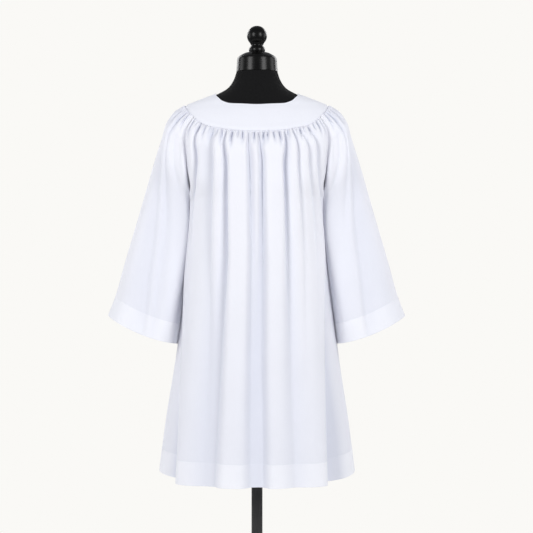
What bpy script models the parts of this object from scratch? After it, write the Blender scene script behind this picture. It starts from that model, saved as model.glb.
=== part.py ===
"""Gathered surplice with a round yoke, standing on a limbless dress form.

Metres, +Z up.  The back of the garment faces -Y and the wearer's right side is +X.
The origin is the middle of the underside of the stand's base, on the floor.

Angles go round the figure from the middle of the back (0) over the right side (90)
to the middle of the front (180), in degrees.
"""
import math
from collections import namedtuple

import bmesh
import bpy
from mathutils import Vector

# ---------------------------------------------------------------- driving sizes
PANEL_WALL = 0.0014          # gathered cloth
HEM_WALL = 0.0024            # cloth turned up on itself
YOKE_WALL = 0.0020           # doubled cloth
YOKE_CLEARANCE = 0.0005      # between the form and the underside of the yoke
SEAM_GAP = 0.0005            # between two pieces that are sewn together
SIDE_SEAM_GAP = 0.0010       # between the mid surfaces at the side seams
YOKE_SEAM_DROP = 0.0006      # from the yoke's edge to the gathered cloth, which slants away
SHOULDER_SEAM = 97.0         # the yoke's shoulder seams lie a little in front of the ridge
YOKE_CORNER = 68.0           # where the sleeve's back seam meets the yoke
UNDERARM_HEIGHT = 1.187
HEM_BACK_HEIGHT = 0.483
HEM_SIDE_HEIGHT = 0.511
HEM_SQUARENESS = 14          # how suddenly the hem rises towards the sides
BODY_HEM_DEPTH = 0.055
SLEEVE_HEM_DEPTH = 0.050
SLEEVE_CLEARANCE = 0.0040    # from the body's side to the sleeve's underarm seam
HEM_STEP = 0.0012            # length over which the wall thickens at a hem line

BACK_GATHERS = 26
FRONT_GATHERS = 27
SLEEVE_GATHERS = 10
GATHER_AT_SEAM = 0.0012      # height of the gathers' waves at the yoke
GATHER_BELOW = 0.0026        # and where they stand fullest
GATHER_FULL_DROP = 0.012     # distance below the yoke at which that is
GATHER_LENGTH = 0.050        # mean distance over which they die away
GATHER_LENGTH_SWING = 0.018
GATHER_LENGTH_TURN = 4.1     # turn of the swing from one gather to the next, in radians
GATHER_FULLNESS = 0.80       # mean share of the height that a gather has
GATHER_FULLNESS_SWING = 0.20
GATHER_FULLNESS_TURN = 2.4
GATHER_FULLNESS_PHASE = 0.7
SELVEDGE_GATHERS = 0.6       # the gathers die away over this many at a panel's edge
COLUMNS_PER_GATHER = 4

POLE_RADIUS = 0.014
FORM_FLOOR = 0.760           # underside of the torso
SEAT_GAP = 0.0003            # between hard pieces that stand on each other
FORM_INSET = 0.0011          # the yoke's fine rings then clear the form's coarser ones
CLOSE_ROWS_ABOVE = 1.38      # the shoulders and neck take a ring between each two sections
YOKE_BACK_COLUMNS = 32       # even, so that the form's sides take every second one
YOKE_FRONT_COLUMNS = 32
YOKE_ROWS = 5
YOKE_SEAM_RADIUS = 0.104
GATHER_RISE = 0.0060         # how far the gathers push the cloth off the form
GATHER_RISE_DROP = 0.030     # over this drop
CLING_DROP = 0.004           # the cloth follows the form to this drop below the yoke
CLING_RUN = 0.075            # and hangs free that much lower
SEAM_CURVE = 4.5             # how late the slanting seams turn towards the underarm
FOLD_INSET = 12.0            # the long folds fade over this many degrees from a panel's edge
FOLD_START_DROP = 0.012      # and start below the yoke
FOLD_START_RUN = 0.070
FOLD_LOW_FROM = 1.30         # height at which a fold begins to take its hem's depth
FOLD_LOW_RUN = 0.80
FOLD_SPREAD = 0.9            # how much wider a fold is at the hem
UNDERARM_SAG = 0.012         # the thread at the underarm lies lower in the panel's middle
UNDERARM_RADIUS = 0.167
SLEEVE_SEAM_GAP = 0.0008
SLEEVE_LENGTH = 0.578        # along the outer edge
SLEEVE_TAKE_OFF = 0.10       # share of the length over which a sleeve leaves the yoke's line
SLEEVE_HEM_SAG = 0.010
SLEEVE_CLEARANCE_RUN = 0.25  # share of the underarm seam over which the clearance opens
NEAR_REACH_AT_YOKE = 0.45    # share of a ring's reach that its seam end has at the yoke
LEVEL_FROM = 0.25            # share of the length from which a ring's height follows its width
LEVEL_RUN = 0.50
SLEEVE_FOLD_START = 0.12     # shares of the length over which a sleeve's fold begins and ends
SLEEVE_FOLD_END = 0.20
CORNER_CLEARANCE = 0.3       # from the sleeve's corner to the body's on the yoke, in degrees

SURFACE_TURN = 0.5           # steps for a surface's normal, in degrees and metres
SURFACE_DROP = 0.001
SLEEVE_STEP = 0.01           # and as a share of a sleeve's ring and length
YOKE_SAMPLES = 240           # for parting the yoke's edge into equal lengths

# ---------------------------------------------------------------- tables
Section = namedtuple("Section", "height half_width back front")

FORM_SECTIONS = (
    Section(0.7600, 0.1580, 0.1220, 0.1180),
    Section(0.8400, 0.1650, 0.1350, 0.1260),
    Section(0.9300, 0.1520, 0.1220, 0.1220),
    Section(1.0200, 0.1360, 0.1040, 0.1180),
    Section(1.1100, 0.1400, 0.1180, 0.1320),
    Section(1.1870, 0.1480, 0.1310, 0.1420),
    Section(1.2400, 0.1680, 0.1340, 0.1430),
    Section(1.3000, 0.1950, 0.1320, 0.1360),
    Section(1.3580, 0.2075, 0.1230, 0.1190),
    Section(1.3850, 0.2060, 0.1100, 0.1060),
    Section(1.4120, 0.1960, 0.0930, 0.0950),
    Section(1.4305, 0.1765, 0.0790, 0.0865),
    Section(1.4480, 0.1360, 0.0715, 0.0800),
    Section(1.4605, 0.1035, 0.0665, 0.0745),
    Section(1.4780, 0.0740, 0.0620, 0.0680),
    Section(1.4985, 0.0600, 0.0560, 0.0620),
    Section(1.5185, 0.0530, 0.0530, 0.0530),
)

CLOTH_SECTIONS = (
    Section(0.4800, 0.2500, 0.2060, 0.2040),
    Section(0.6400, 0.2300, 0.1900, 0.1900),
    Section(0.7600, 0.2120, 0.1780, 0.1790),
    Section(0.9000, 0.1940, 0.1670, 0.1690),
    Section(1.0400, 0.1785, 0.1600, 0.1660),
    Section(1.1870, 0.1670, 0.1540, 0.1650),
    Section(1.2400, 0.1880, 0.1520, 0.1640),
    Section(1.3000, 0.2050, 0.1460, 0.1560),
    Section(1.3580, 0.2150, 0.1320, 0.1290),
    Section(1.4120, 0.2050, 0.1010, 0.1030),
)

YokeStation = namedtuple("YokeStation", "angle neck_height edge_height")

YOKE_STATIONS = (
    YokeStation(0.0, 1.4270, 1.3580),
    YokeStation(27.0, 1.4290, 1.3610),
    YokeStation(42.0, 1.4305, 1.3670),
    YokeStation(53.0, 1.4370, 1.3740),
    YokeStation(61.0, 1.4460, 1.3850),
    YokeStation(70.0, 1.4535, 1.4030),
    YokeStation(80.0, 1.4592, 1.4215),
    YokeStation(90.0, 1.4605, 1.4300),
    YokeStation(100.0, 1.4585, 1.4210),
    YokeStation(110.0, 1.4535, 1.4010),
    YokeStation(122.0, 1.4430, 1.3740),
    YokeStation(137.0, 1.4240, 1.3450),
    YokeStation(156.0, 1.4000, 1.3200),
    YokeStation(180.0, 1.3880, 1.3110),
)

# Rings of a sleeve, from the yoke (0) to the hem (1).  The outer edge is seen from the back;
# reach is how far the ring's curve is drawn backwards and forwards, opening the angle at which
# it stands off the body's side at the seam, crease how far it is pinched at the outer edge, and
# inner and outer how square the ring is towards the body and towards its outer edge (1 is round).
SleeveRing = namedtuple("SleeveRing", "along outer_x outer_z reach opening crease inner outer")

SLEEVE_RINGS = (
    SleeveRing(0.000, 0.1770, 1.4300, 0.030, 88.0, 0.0, 1.0, 1.0),
    SleeveRing(0.036, 0.1950, 1.4205, 0.052, 88.0, 0.0, 1.0, 1.0),
    SleeveRing(0.071, 0.2120, 1.4080, 0.068, 86.0, 0.0, 1.2, 1.0),
    SleeveRing(0.127, 0.2300, 1.3815, 0.080, 84.0, 0.0, 1.6, 1.1),
    SleeveRing(0.192, 0.2440, 1.3460, 0.082, 76.0, 2.0, 2.0, 1.2),
    SleeveRing(0.288, 0.2620, 1.2935, 0.076, 56.0, 4.0, 2.6, 1.3),
    SleeveRing(0.404, 0.2795, 1.2290, 0.070, 22.0, 6.0, 3.2, 1.4),
    SleeveRing(0.551, 0.3030, 1.1470, 0.070, 8.0, 8.0, 2.8, 1.4),
    SleeveRing(0.744, 0.3350, 1.0400, 0.088, 6.0, 9.0, 2.0, 1.4),
    SleeveRing(0.913, 0.3610, 0.9460, 0.103, 8.0, 10.0, 1.5, 1.3),
    SleeveRing(1.000, 0.3790, 0.8990, 0.110, 10.0, 10.0, 1.3, 1.3),
)
SLEEVE_UNDERARM = 0.383      # where along the sleeve the two slanting seams meet
SLEEVE_INNER_HEM = 0.827     # height of the hem at the underarm seam

# Long folds of a body panel.  Places are across the panel (x), at the yoke, chest, waist and
# hem; depth is inwards for a valley and outwards for a ridge.
LongFold = namedtuple("LongFold", "yoke chest waist hem depth_top depth_hem width")

FOLD_LEVELS = (("hem", 0.49), ("waist", 0.98), ("chest", 1.28), ("yoke", 1.345))
BACK_FOLDS = (
    LongFold(-0.150, -0.148, -0.168, -0.214, 0.002, -0.050, 0.020),
    LongFold(-0.120, -0.115, -0.132, -0.165, -0.008, -0.004, 0.016),
    LongFold(-0.084, -0.082, -0.087, -0.118, -0.012, -0.024, 0.014),
    LongFold(-0.055, -0.053, -0.056, -0.066, 0.006, 0.014, 0.020),
    LongFold(-0.018, -0.018, -0.022, -0.022, -0.009, -0.017, 0.011),
    LongFold(0.013, 0.013, 0.017, 0.014, -0.011, -0.018, 0.011),
    LongFold(0.044, 0.042, 0.050, 0.054, 0.005, 0.011, 0.022),
    LongFold(0.068, 0.071, 0.084, 0.098, -0.012, -0.020, 0.014),
    LongFold(0.104, 0.107, 0.112, 0.130, -0.007, 0.010, 0.016),
    LongFold(0.140, 0.138, 0.158, 0.206, -0.008, -0.050, 0.019),
)
FRONT_FOLDS = (
    LongFold(-0.140, -0.142, -0.162, -0.210, -0.006, -0.048, 0.020),
    LongFold(-0.104, -0.106, -0.118, -0.142, 0.006, 0.014, 0.018),
    LongFold(-0.070, -0.072, -0.080, -0.104, -0.012, -0.022, 0.014),
    LongFold(-0.036, -0.038, -0.042, -0.050, 0.006, 0.014, 0.020),
    LongFold(-0.006, -0.007, -0.009, -0.012, -0.010, -0.020, 0.013),
    LongFold(0.028, 0.027, 0.032, 0.036, 0.006, 0.013, 0.018),
    LongFold(0.058, 0.060, 0.068, 0.078, -0.012, -0.023, 0.014),
    LongFold(0.096, 0.098, 0.108, 0.122, 0.006, 0.014, 0.020),
    LongFold(0.136, 0.138, 0.158, 0.208, -0.007, -0.047, 0.020),
)

# Long folds of a sleeve.  Places are round the ring, from the underarm seam over the back (0.25)
# to the outer edge (0.5) and on over the front to the seam again (1).
SleeveFold = namedtuple("SleeveFold", "place_top place_hem start end depth width")

LEFT_SLEEVE_FOLDS = (
    SleeveFold(0.16, 0.10, 0.02, 0.62, -0.0090, 0.028),
    SleeveFold(0.24, 0.19, 0.03, 0.85, 0.0080, 0.045),
    SleeveFold(0.34, 0.33, 0.04, 1.20, -0.0110, 0.040),
    SleeveFold(0.43, 0.42, 0.05, 0.70, 0.0050, 0.040),
    SleeveFold(0.62, 0.60, 0.04, 0.80, -0.0090, 0.040),
    SleeveFold(0.72, 0.72, 0.04, 1.20, 0.0080, 0.045),
    SleeveFold(0.82, 0.84, 0.03, 1.20, -0.0110, 0.040),
)
RIGHT_SLEEVE_FOLDS = (
    SleeveFold(0.14, 0.10, 0.02, 0.50, -0.0100, 0.030),
    SleeveFold(0.24, 0.22, 0.03, 0.75, 0.0070, 0.040),
    SleeveFold(0.33, 0.30, 0.04, 1.20, -0.0110, 0.040),
    SleeveFold(0.43, 0.42, 0.04, 0.60, 0.0060, 0.040),
    SleeveFold(0.60, 0.58, 0.04, 1.20, -0.0100, 0.040),
    SleeveFold(0.71, 0.70, 0.04, 0.80, 0.0080, 0.045),
    SleeveFold(0.83, 0.82, 0.03, 1.20, -0.0110, 0.045),
)

# Rows of the mesh: along the slanting seams, where body and sleeves share them, and below.
SEAM_ROWS = (0.0, 0.04, 0.13, 0.26, 0.50, 0.75, 0.90, 1.0)
FINE_ROWS = 4                # rows that follow every gather; the rest take every second column
BODY_ROWS = (0.12, 0.30, 0.52, 0.76)
SLEEVE_ROWS = (0.16, 0.36, 0.58, 0.80)

# Turned profiles, as (radius, height).
CAP_PROFILE = (
    (0.0, 1.5690), (0.0205, 1.5690), (0.0290, 1.5672), (0.0370, 1.5636), (0.0440, 1.5592),
    (0.0485, 1.5556), (0.0503, 1.5530), (0.0506, 1.5480), (0.0528, 1.5188), (0.0, 1.5188),
)
BALL_RADIUS = 0.0255
BALL_HEIGHT = 1.6108
BALL_STEPS = 14              # from the ball's top to where it would close below
BALL_STEPS_SHOWN = 11        # before it runs into the finial's neck
FINIAL_NECK = (
    (0.0160, 1.5843), (0.01934, 1.5793), (0.0208, 1.5748), (0.01997, 1.5693), (0.0, 1.5693),
)
BASE_PROFILE = (
    (0.0, 0.0320), (0.0180, 0.0320), (0.0240, 0.0300), (0.0260, 0.0240), (0.0330, 0.0165),
    (0.0520, 0.0140), (0.1740, 0.0120), (0.1785, 0.0105), (0.1800, 0.0070), (0.1800, 0.0015),
    (0.1785, 0.0), (0.0, 0.0),
)


# ---------------------------------------------------------------- helpers
def smooth(x):
    """Ease from 0 to 1."""
    x = min(max(x, 0.0), 1.0)
    return x * x * (3.0 - 2.0 * x)


def read_off(table, key, at, column):
    """Value of a table's column at a place between its rows, on a smooth curve."""
    keys = [getattr(row, key) for row in table]
    values = [getattr(row, column) for row in table]
    if at <= keys[0]:
        return values[0]
    if at >= keys[-1]:
        return values[-1]
    i = next(n for n in range(len(keys) - 1) if at <= keys[n + 1])
    step = keys[i + 1] - keys[i]
    slope = (values[i + 1] - values[i]) / step

    def tangent(n):
        if n in (0, len(keys) - 1):
            return 0.0 if column in ("neck_height", "edge_height") else slope
        before = (values[n] - values[n - 1]) / (keys[n] - keys[n - 1])
        after = (values[n + 1] - values[n]) / (keys[n + 1] - keys[n])
        return 0.0 if before * after <= 0 else 2 * before * after / (before + after)

    t = (at - keys[i]) / step
    t2, t3 = t * t, t * t * t
    return ((2 * t3 - 3 * t2 + 1) * values[i] + (t3 - 2 * t2 + t) * step * tangent(i)
            + (3 * t2 - 2 * t3) * values[i + 1] + (t3 - t2) * step * tangent(i + 1))


def ring_point(sections, angle, height, inset=0.0):
    """Point of an oval section of the figure, at an angle round it and a height."""
    turn = math.radians(angle)
    across, along = math.sin(turn), -math.cos(turn)
    half_width = read_off(sections, "height", height, "half_width") - inset
    depth = read_off(sections, "height", height, "back" if along < 0 else "front") - inset
    radius = 1.0 / math.hypot(across / half_width, along / depth)
    return Vector((radius * across, radius * along, height))


def yoke_height(angle, column):
    """Height of the neckline or of the yoke's outer edge at an angle."""
    from_back = abs((angle + 180.0) % 360.0 - 180.0)
    return read_off(YOKE_STATIONS, "angle", from_back, column)


def surface_normal(surface, a, b, step_a, step_b):
    """Outward normal of a surface given as a function of two values."""
    d_a = surface(a + step_a, b) - surface(a - step_a, b)
    d_b = surface(a, b + step_b) - surface(a, b - step_b)
    return d_a.cross(d_b).normalized()


def yoke_point(angle, height, stand_off):
    """Point above the form's surface, as the yoke lies on it."""
    def on_form(a, h):
        return ring_point(FORM_SECTIONS, a, h)

    normal = surface_normal(on_form, angle, height, SURFACE_TURN, SURFACE_DROP)
    return on_form(angle, height) + normal * stand_off


def even_angles(first, last, count):
    """Angles that part the yoke's outer edge into equal lengths of cloth."""
    angles = [first + (last - first) * n / YOKE_SAMPLES for n in range(YOKE_SAMPLES + 1)]
    points = [ring_point(FORM_SECTIONS, a, yoke_height(a, "edge_height")) for a in angles]
    run = [0.0]
    for before, after in zip(points, points[1:]):
        run.append(run[-1] + (after - before).length)
    result = []
    n = 0
    for k in range(count + 1):
        target = run[-1] * k / count
        while n < YOKE_SAMPLES - 1 and run[n + 1] < target:
            n += 1
        part = (target - run[n]) / (run[n + 1] - run[n])
        result.append(angles[n] + (angles[n + 1] - angles[n]) * part)
    return result


def gather_wave(place, drop):
    """Height of the gathers; place counts gathers, drop is the distance below the yoke."""
    number = math.floor(place + 0.5)
    turn = GATHER_FULLNESS_TURN * number + GATHER_FULLNESS_PHASE
    fullness = GATHER_FULLNESS + GATHER_FULLNESS_SWING * math.sin(turn)
    length = GATHER_LENGTH + GATHER_LENGTH_SWING * math.sin(GATHER_LENGTH_TURN * number)
    rise = GATHER_AT_SEAM + (GATHER_BELOW - GATHER_AT_SEAM) * smooth(drop / GATHER_FULL_DROP)
    fade = 1.0 - smooth((drop - GATHER_FULL_DROP) / length)
    return rise * fullness * fade * math.cos(2 * math.pi * place)


# ---------------------------------------------------------------- the body's surface
def seam_angle(t):
    """Angle of a slanting seam off its panel's middle, from the yoke (0) to the underarm (1)."""
    return YOKE_CORNER + (90.0 - YOKE_CORNER) * t ** SEAM_CURVE


def seam_height(t):
    """Height of the slanting seam."""
    top = yoke_height(YOKE_CORNER, "edge_height") - YOKE_SEAM_DROP
    return top + (UNDERARM_HEIGHT - top) * t


def hem_height(angle):
    """Height of the body's hem, level over the back and front and rising close to the sides."""
    level = 1.0 - abs(math.sin(math.radians(angle))) ** HEM_SQUARENESS
    return HEM_SIDE_HEIGHT + (HEM_BACK_HEIGHT - HEM_SIDE_HEIGHT) * level


def body_base(angle, height):
    """Gathered cloth of the body without its folds, hanging from the yoke."""
    drop = yoke_height(angle, "edge_height") - height
    hanging = ring_point(CLOTH_SECTIONS, angle, height)
    free = smooth((drop - CLING_DROP) / CLING_RUN)
    if free >= 1.0:
        return hanging
    lift = YOKE_CLEARANCE + PANEL_WALL / 2 + GATHER_AT_SEAM
    on_form = yoke_point(angle, height, lift + GATHER_RISE * smooth(drop / GATHER_RISE_DROP))
    return on_form.lerp(hanging, free)


def fold_depth(folds, x, height, drop):
    """How far the long folds move the cloth in or out; drop is the distance below the yoke."""
    depth = 0.0
    for fold in folds:
        across = fold.hem
        for (low, low_z), (high, high_z) in zip(FOLD_LEVELS, FOLD_LEVELS[1:]):
            if height > low_z:
                part = smooth((height - low_z) / (high_z - low_z))
                across = getattr(fold, low) + (getattr(fold, high) - getattr(fold, low)) * part
        fall = smooth((FOLD_LOW_FROM - height) / FOLD_LOW_RUN)
        strength = fold.depth_top + (fold.depth_hem - fold.depth_top) * fall
        width = fold.width * (1.0 + FOLD_SPREAD * fall)
        depth += strength * math.exp(-((x - across) / width) ** 2)
    return depth * smooth((drop - FOLD_START_DROP) / FOLD_START_RUN)


Panel = namedtuple("Panel", "middle gathers folds")

BACK = Panel(0.0, BACK_GATHERS, BACK_FOLDS)
FRONT = Panel(180.0, FRONT_GATHERS, FRONT_FOLDS)


def body_point(panel, top_angle, place, t, below):
    """Point of a body panel.

    top_angle is where its thread leaves the yoke, off the panel's middle, and place counts the
    gathers up to it; t goes down the slanting seam, and below from the underarm to the hem.
    """
    edge = seam_angle(t)
    half_gap = math.degrees(SIDE_SEAM_GAP / 2 / UNDERARM_RADIUS)
    off_middle = top_angle * (edge - half_gap) / YOKE_CORNER
    angle = off_middle if panel.middle == 0.0 else panel.middle - off_middle
    start = panel.middle + top_angle
    top = yoke_height(start, "edge_height") - YOKE_SEAM_DROP
    sag = UNDERARM_SAG * math.cos(math.radians(off_middle)) ** 2
    height = top + (UNDERARM_HEIGHT - sag - top) * t
    height += (hem_height(angle) - height) * below
    base = body_base(angle, height)
    inset = smooth((edge - abs(off_middle)) / FOLD_INSET)
    selvedge = smooth(min(place, panel.gathers - place) / SELVEDGE_GATHERS)
    out = gather_wave(place, top - height) * selvedge
    out += fold_depth(panel.folds, base.x, height, top - height) * inset
    return base + surface_normal(body_base, angle, height, SURFACE_TURN, SURFACE_DROP) * out


# ---------------------------------------------------------------- a sleeve's surface
def sleeve_ring(along):
    """Ring of a sleeve between the rows of its table."""
    return SleeveRing(along, *(read_off(SLEEVE_RINGS, "along", along, column)
                               for column in ("outer_x", "outer_z", "reach", "opening", "crease",
                                              "inner", "outer")))


def sleeve_seam(along, front):
    """Start of a ring at the body's seam, and its angle round the figure."""
    if along < SLEEVE_UNDERARM:
        t = along / SLEEVE_UNDERARM
        angle = 180.0 - seam_angle(t) if front else seam_angle(t)
        return body_base(angle, seam_height(t)), angle
    run = (along - SLEEVE_UNDERARM) / (1.0 - SLEEVE_UNDERARM)
    height = UNDERARM_HEIGHT + (SLEEVE_INNER_HEM - UNDERARM_HEIGHT) * run
    seam = ring_point(CLOTH_SECTIONS, 90.0, height)
    seam.x += SLEEVE_CLEARANCE * smooth(run / SLEEVE_CLEARANCE_RUN)
    return seam, 90.0


def sleeve_base(place, along):
    """Right sleeve without its folds: place goes round the ring, along runs from yoke to hem."""
    front = place > 0.5
    forward = 1.0 if front else -1.0
    part = (1.0 - place if front else place) * 2.0
    rest = 1.0 - part
    ring = sleeve_ring(along)
    seam, angle = sleeve_seam(along, front)
    turn = math.radians(angle)
    opening = math.radians(ring.opening)
    outward = Vector((math.sin(turn), -math.cos(turn), 0.0))
    backward = Vector((forward * math.cos(turn), forward * math.sin(turn), 0.0))
    start = outward * math.sin(opening) + backward * math.cos(opening)
    slant = math.atan2(math.sin(opening), ring.inner * math.cos(opening))
    seam = seam + outward * (PANEL_WALL / 2 * (1.0 + math.cos(slant)) + SLEEVE_SEAM_GAP)

    near_share = NEAR_REACH_AT_YOKE + (1.0 - NEAR_REACH_AT_YOKE) * min(along / SLEEVE_UNDERARM, 1.0)
    near = seam + start * ring.reach * near_share
    edge = Vector((ring.outer_x, 0.0, ring.outer_z))
    inward = Vector((seam.x - edge.x, 0.0, seam.z - edge.z)).normalized()
    crease = math.radians(ring.crease)
    far = edge + inward * ring.reach * math.sin(crease)
    far.y += forward * ring.reach * math.cos(crease)
    point = (seam * rest ** 3 + near * 3 * rest ** 2 * part + far * 3 * rest * part ** 2
             + edge * part ** 3)

    middle = (seam.y + 3 * near.y + 3 * far.y) / 8
    side, square = (seam.y, ring.inner) if part < 0.5 else (0.0, ring.outer)
    share = min(max((point.y - side) / (middle - side), 0.0), 1.0)
    point.y = side + (middle - side) * (1.0 - (1.0 - share) ** square)

    across = min(max((point.x - seam.x) / (edge.x - seam.x), 0.0), 1.0)
    level = seam.z + (edge.z - seam.z) * across
    point.z += (level - point.z) * smooth((along - LEVEL_FROM) / LEVEL_RUN)
    point.z -= SLEEVE_HEM_SAG * 4 * across * (1.0 - across) * along ** 3
    return point


def sleeve_top(place):
    """Where the sleeve's cloth leaves the yoke."""
    angle = SLEEVE_TOP_ANGLES[round(place * (len(SLEEVE_TOP_ANGLES) - 1))]
    lift = YOKE_CLEARANCE + PANEL_WALL / 2 + GATHER_AT_SEAM
    return yoke_point(angle, yoke_height(angle, "edge_height") - YOKE_SEAM_DROP, lift)


def sleeve_point(side, folds, place, along):
    """Point of a sleeve; side is 1 for the right and -1 for the left."""
    base = sleeve_base(place, along)
    if along < SLEEVE_TAKE_OFF:
        hold = 1.0 - smooth(along / SLEEVE_TAKE_OFF)
        base += (sleeve_top(place) - sleeve_base(place, 0.0)) * hold
    step = SLEEVE_STEP
    inner = min(max(place, 2 * step), 1.0 - 2 * step)
    inner += 2 * step if abs(inner - 0.5) < step else 0.0
    lower = min(max(along, 2 * step), 1.0 - 2 * step)
    d_place = sleeve_base(inner + step, lower) - sleeve_base(inner - step, lower)
    d_along = sleeve_base(inner, lower + step) - sleeve_base(inner, lower - step)
    normal = d_along.cross(d_place).normalized()
    selvedge = smooth(min(place, 1.0 - place) * SLEEVE_GATHERS / SELVEDGE_GATHERS)
    out = gather_wave(place * SLEEVE_GATHERS, along * SLEEVE_LENGTH) * selvedge
    for fold in folds:
        centre = fold.place_top + (fold.place_hem - fold.place_top) * along
        run = smooth((along - fold.start) / SLEEVE_FOLD_START)
        run *= 1.0 - smooth((along - fold.end) / SLEEVE_FOLD_END + 1.0)
        out += fold.depth * run * math.exp(-((place - centre) / fold.width) ** 2) * selvedge
    point = base + normal * out
    return Vector((point.x * side, point.y, point.z))


# ---------------------------------------------------------------- making the objects
def make_material(name, colour, roughness, metallic=0.0):
    material = bpy.data.materials.new(name)
    material.use_nodes = True
    shader = material.node_tree.nodes["Principled BSDF"]
    shader.inputs["Base Color"].default_value = (*colour, 1.0)
    shader.inputs["Roughness"].default_value = roughness
    shader.inputs["Metallic"].default_value = metallic
    return material


def add_object(name, mesh, collection, material):
    obj = bpy.data.objects.new(name, mesh)
    collection.objects.link(obj)
    mesh.materials.append(material)
    mesh.shade_smooth()
    return obj


def weave(rows, closed):
    """Mesh through rows of points; a row may have half the columns of the one above it.

    closed says for each row whether its last point is its first one.
    """
    bm = bmesh.new()
    made = []
    for points, is_closed in zip(rows, closed):
        row = [bm.verts.new(p) for p in (points[:-1] if is_closed else points)]
        made.append(row + row[:1] if is_closed else row)
    for upper, lower in zip(made, made[1:]):
        if len(upper) == len(lower):
            for n in range(len(upper) - 1):
                bm.faces.new((upper[n], lower[n], lower[n + 1], upper[n + 1]))
            continue
        for n in range(len(lower) - 1):
            left, middle, right = upper[2 * n:2 * n + 3]
            bm.faces.new((left, lower[n], middle))
            bm.faces.new((middle, lower[n], lower[n + 1]))
            bm.faces.new((middle, lower[n + 1], right))
    return bm, made


def finish_mesh(bm, name):
    mesh = bpy.data.meshes.new(name)
    bm.to_mesh(mesh)
    bm.free()
    return mesh


def make_cloth(name, rows, closed, collection, material, wall, hem_rows=0):
    """Sheet of cloth with a wall; the last rows are turned up into a hem."""
    bm, made = weave(rows, closed)
    bm.verts.index_update()
    hem = sorted({vert.index for row in made[len(made) - hem_rows:] for vert in row})
    obj = add_object(name, finish_mesh(bm, name), collection, material)
    solidify = obj.modifiers.new("Wall", "SOLIDIFY")
    solidify.offset = 0.0
    solidify.use_even_offset = True
    solidify.thickness = wall
    if hem:
        group = obj.vertex_groups.new(name="hem")
        group.add(hem, 1.0, "REPLACE")
        solidify.vertex_group = group.name
        solidify.thickness = HEM_WALL
        solidify.thickness_vertex_group = wall / HEM_WALL
    return obj


def make_yoke(name, columns, collection, material):
    gap = math.degrees(SEAM_GAP / 2 / YOKE_SEAM_RADIUS)
    angles = [columns[0] + gap] + columns[1:-1] + [columns[-1] - gap]
    rows = []
    for n in range(YOKE_ROWS + 1):
        row = []
        for angle in angles:
            neck = yoke_height(angle, "neck_height")
            edge = yoke_height(angle, "edge_height")
            height = neck + (edge - neck) * n / YOKE_ROWS
            row.append(yoke_point(angle, height, YOKE_CLEARANCE + YOKE_WALL / 2))
        rows.append(row)
    return make_cloth(name, rows, [False] * len(rows), collection, material, YOKE_WALL)


def make_panel(name, panel, collection, material):
    count = panel.gathers * COLUMNS_PER_GATHER
    angles = [a - panel.middle for a in
              even_angles(panel.middle - YOKE_CORNER, panel.middle + YOKE_CORNER, count)]
    hem_line = 1.0 - BODY_HEM_DEPTH / (UNDERARM_HEIGHT - HEM_SIDE_HEIGHT)
    step = HEM_STEP / (UNDERARM_HEIGHT - HEM_SIDE_HEIGHT)
    steps = [(t, 0.0) for t in SEAM_ROWS] + [(1.0, b * hem_line) for b in BODY_ROWS]
    steps += [(1.0, b) for b in (hem_line - step, hem_line, 1.0)]
    rows = []
    for n, (t, below) in enumerate(steps):
        stride = 1 if n < FINE_ROWS else 2
        columns = range(0, count + 1, stride)
        rows.append([body_point(panel, angles[c], c / COLUMNS_PER_GATHER, t, below) for c in columns])
    return make_cloth(name, rows, [False] * len(rows), collection, material, PANEL_WALL, hem_rows=2)


def make_sleeve(name, side, folds, collection, material):
    count = SLEEVE_GATHERS * COLUMNS_PER_GATHER
    hem_line = 1.0 - SLEEVE_HEM_DEPTH / SLEEVE_LENGTH
    step = HEM_STEP / SLEEVE_LENGTH
    alongs = [t * SLEEVE_UNDERARM for t in SEAM_ROWS]
    alongs += [SLEEVE_UNDERARM + (hem_line - SLEEVE_UNDERARM) * b for b in SLEEVE_ROWS]
    alongs += [hem_line - step, hem_line, 1.0]
    rows = [[sleeve_point(side, folds, n / count, along) for n in range(count + 1)] for along in alongs]
    closed = [n >= len(SEAM_ROWS) - 1 for n in range(len(alongs))]
    return make_cloth(name, rows, closed, collection, material, PANEL_WALL, hem_rows=2)


def make_torso(name, collection, material):
    heights = [FORM_SECTIONS[0].height]
    for below, above in zip(FORM_SECTIONS, FORM_SECTIONS[1:]):
        if below.height >= CLOSE_ROWS_ABOVE:
            heights.append((below.height + above.height) / 2)
        heights.append(above.height)
    angles = YOKE_BACK_ANGLES[::2] + YOKE_FRONT_ANGLES[2::2]
    rows = [[ring_point(FORM_SECTIONS, a, h, FORM_INSET) for a in angles] for h in reversed(heights)]
    bm, made = weave(rows, [True] * len(rows))
    bm.faces.new(made[0][:-1])
    bm.faces.new(reversed(made[-1][:-1]))
    bmesh.ops.recalc_face_normals(bm, faces=bm.faces)
    return add_object(name, finish_mesh(bm, name), collection, material)


def make_turned(name, profile, collection, material, steps):
    """Solid turned about the upright axis from a profile that runs from its top down."""
    bm = bmesh.new()
    verts = [bm.verts.new((radius, 0.0, height)) for radius, height in profile]
    for upper, lower in zip(verts, verts[1:]):
        bm.edges.new((upper, lower))
    obj = add_object(name, finish_mesh(bm, name), collection, material)
    screw = obj.modifiers.new("Turning", "SCREW")
    screw.steps = steps
    screw.render_steps = steps
    screw.use_merge_vertices = True
    screw.merge_threshold = 0.00001
    screw.use_smooth_shade = True
    return obj


def finial_profile():
    """Ball on a waist and a bead, from the top down."""
    profile = [(0.0, BALL_HEIGHT + BALL_RADIUS)]
    for n in range(1, BALL_STEPS_SHOWN + 1):
        turn = math.pi * n / BALL_STEPS
        profile.append((BALL_RADIUS * math.sin(turn), BALL_HEIGHT + BALL_RADIUS * math.cos(turn)))
    return profile + list(FINIAL_NECK)


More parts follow.
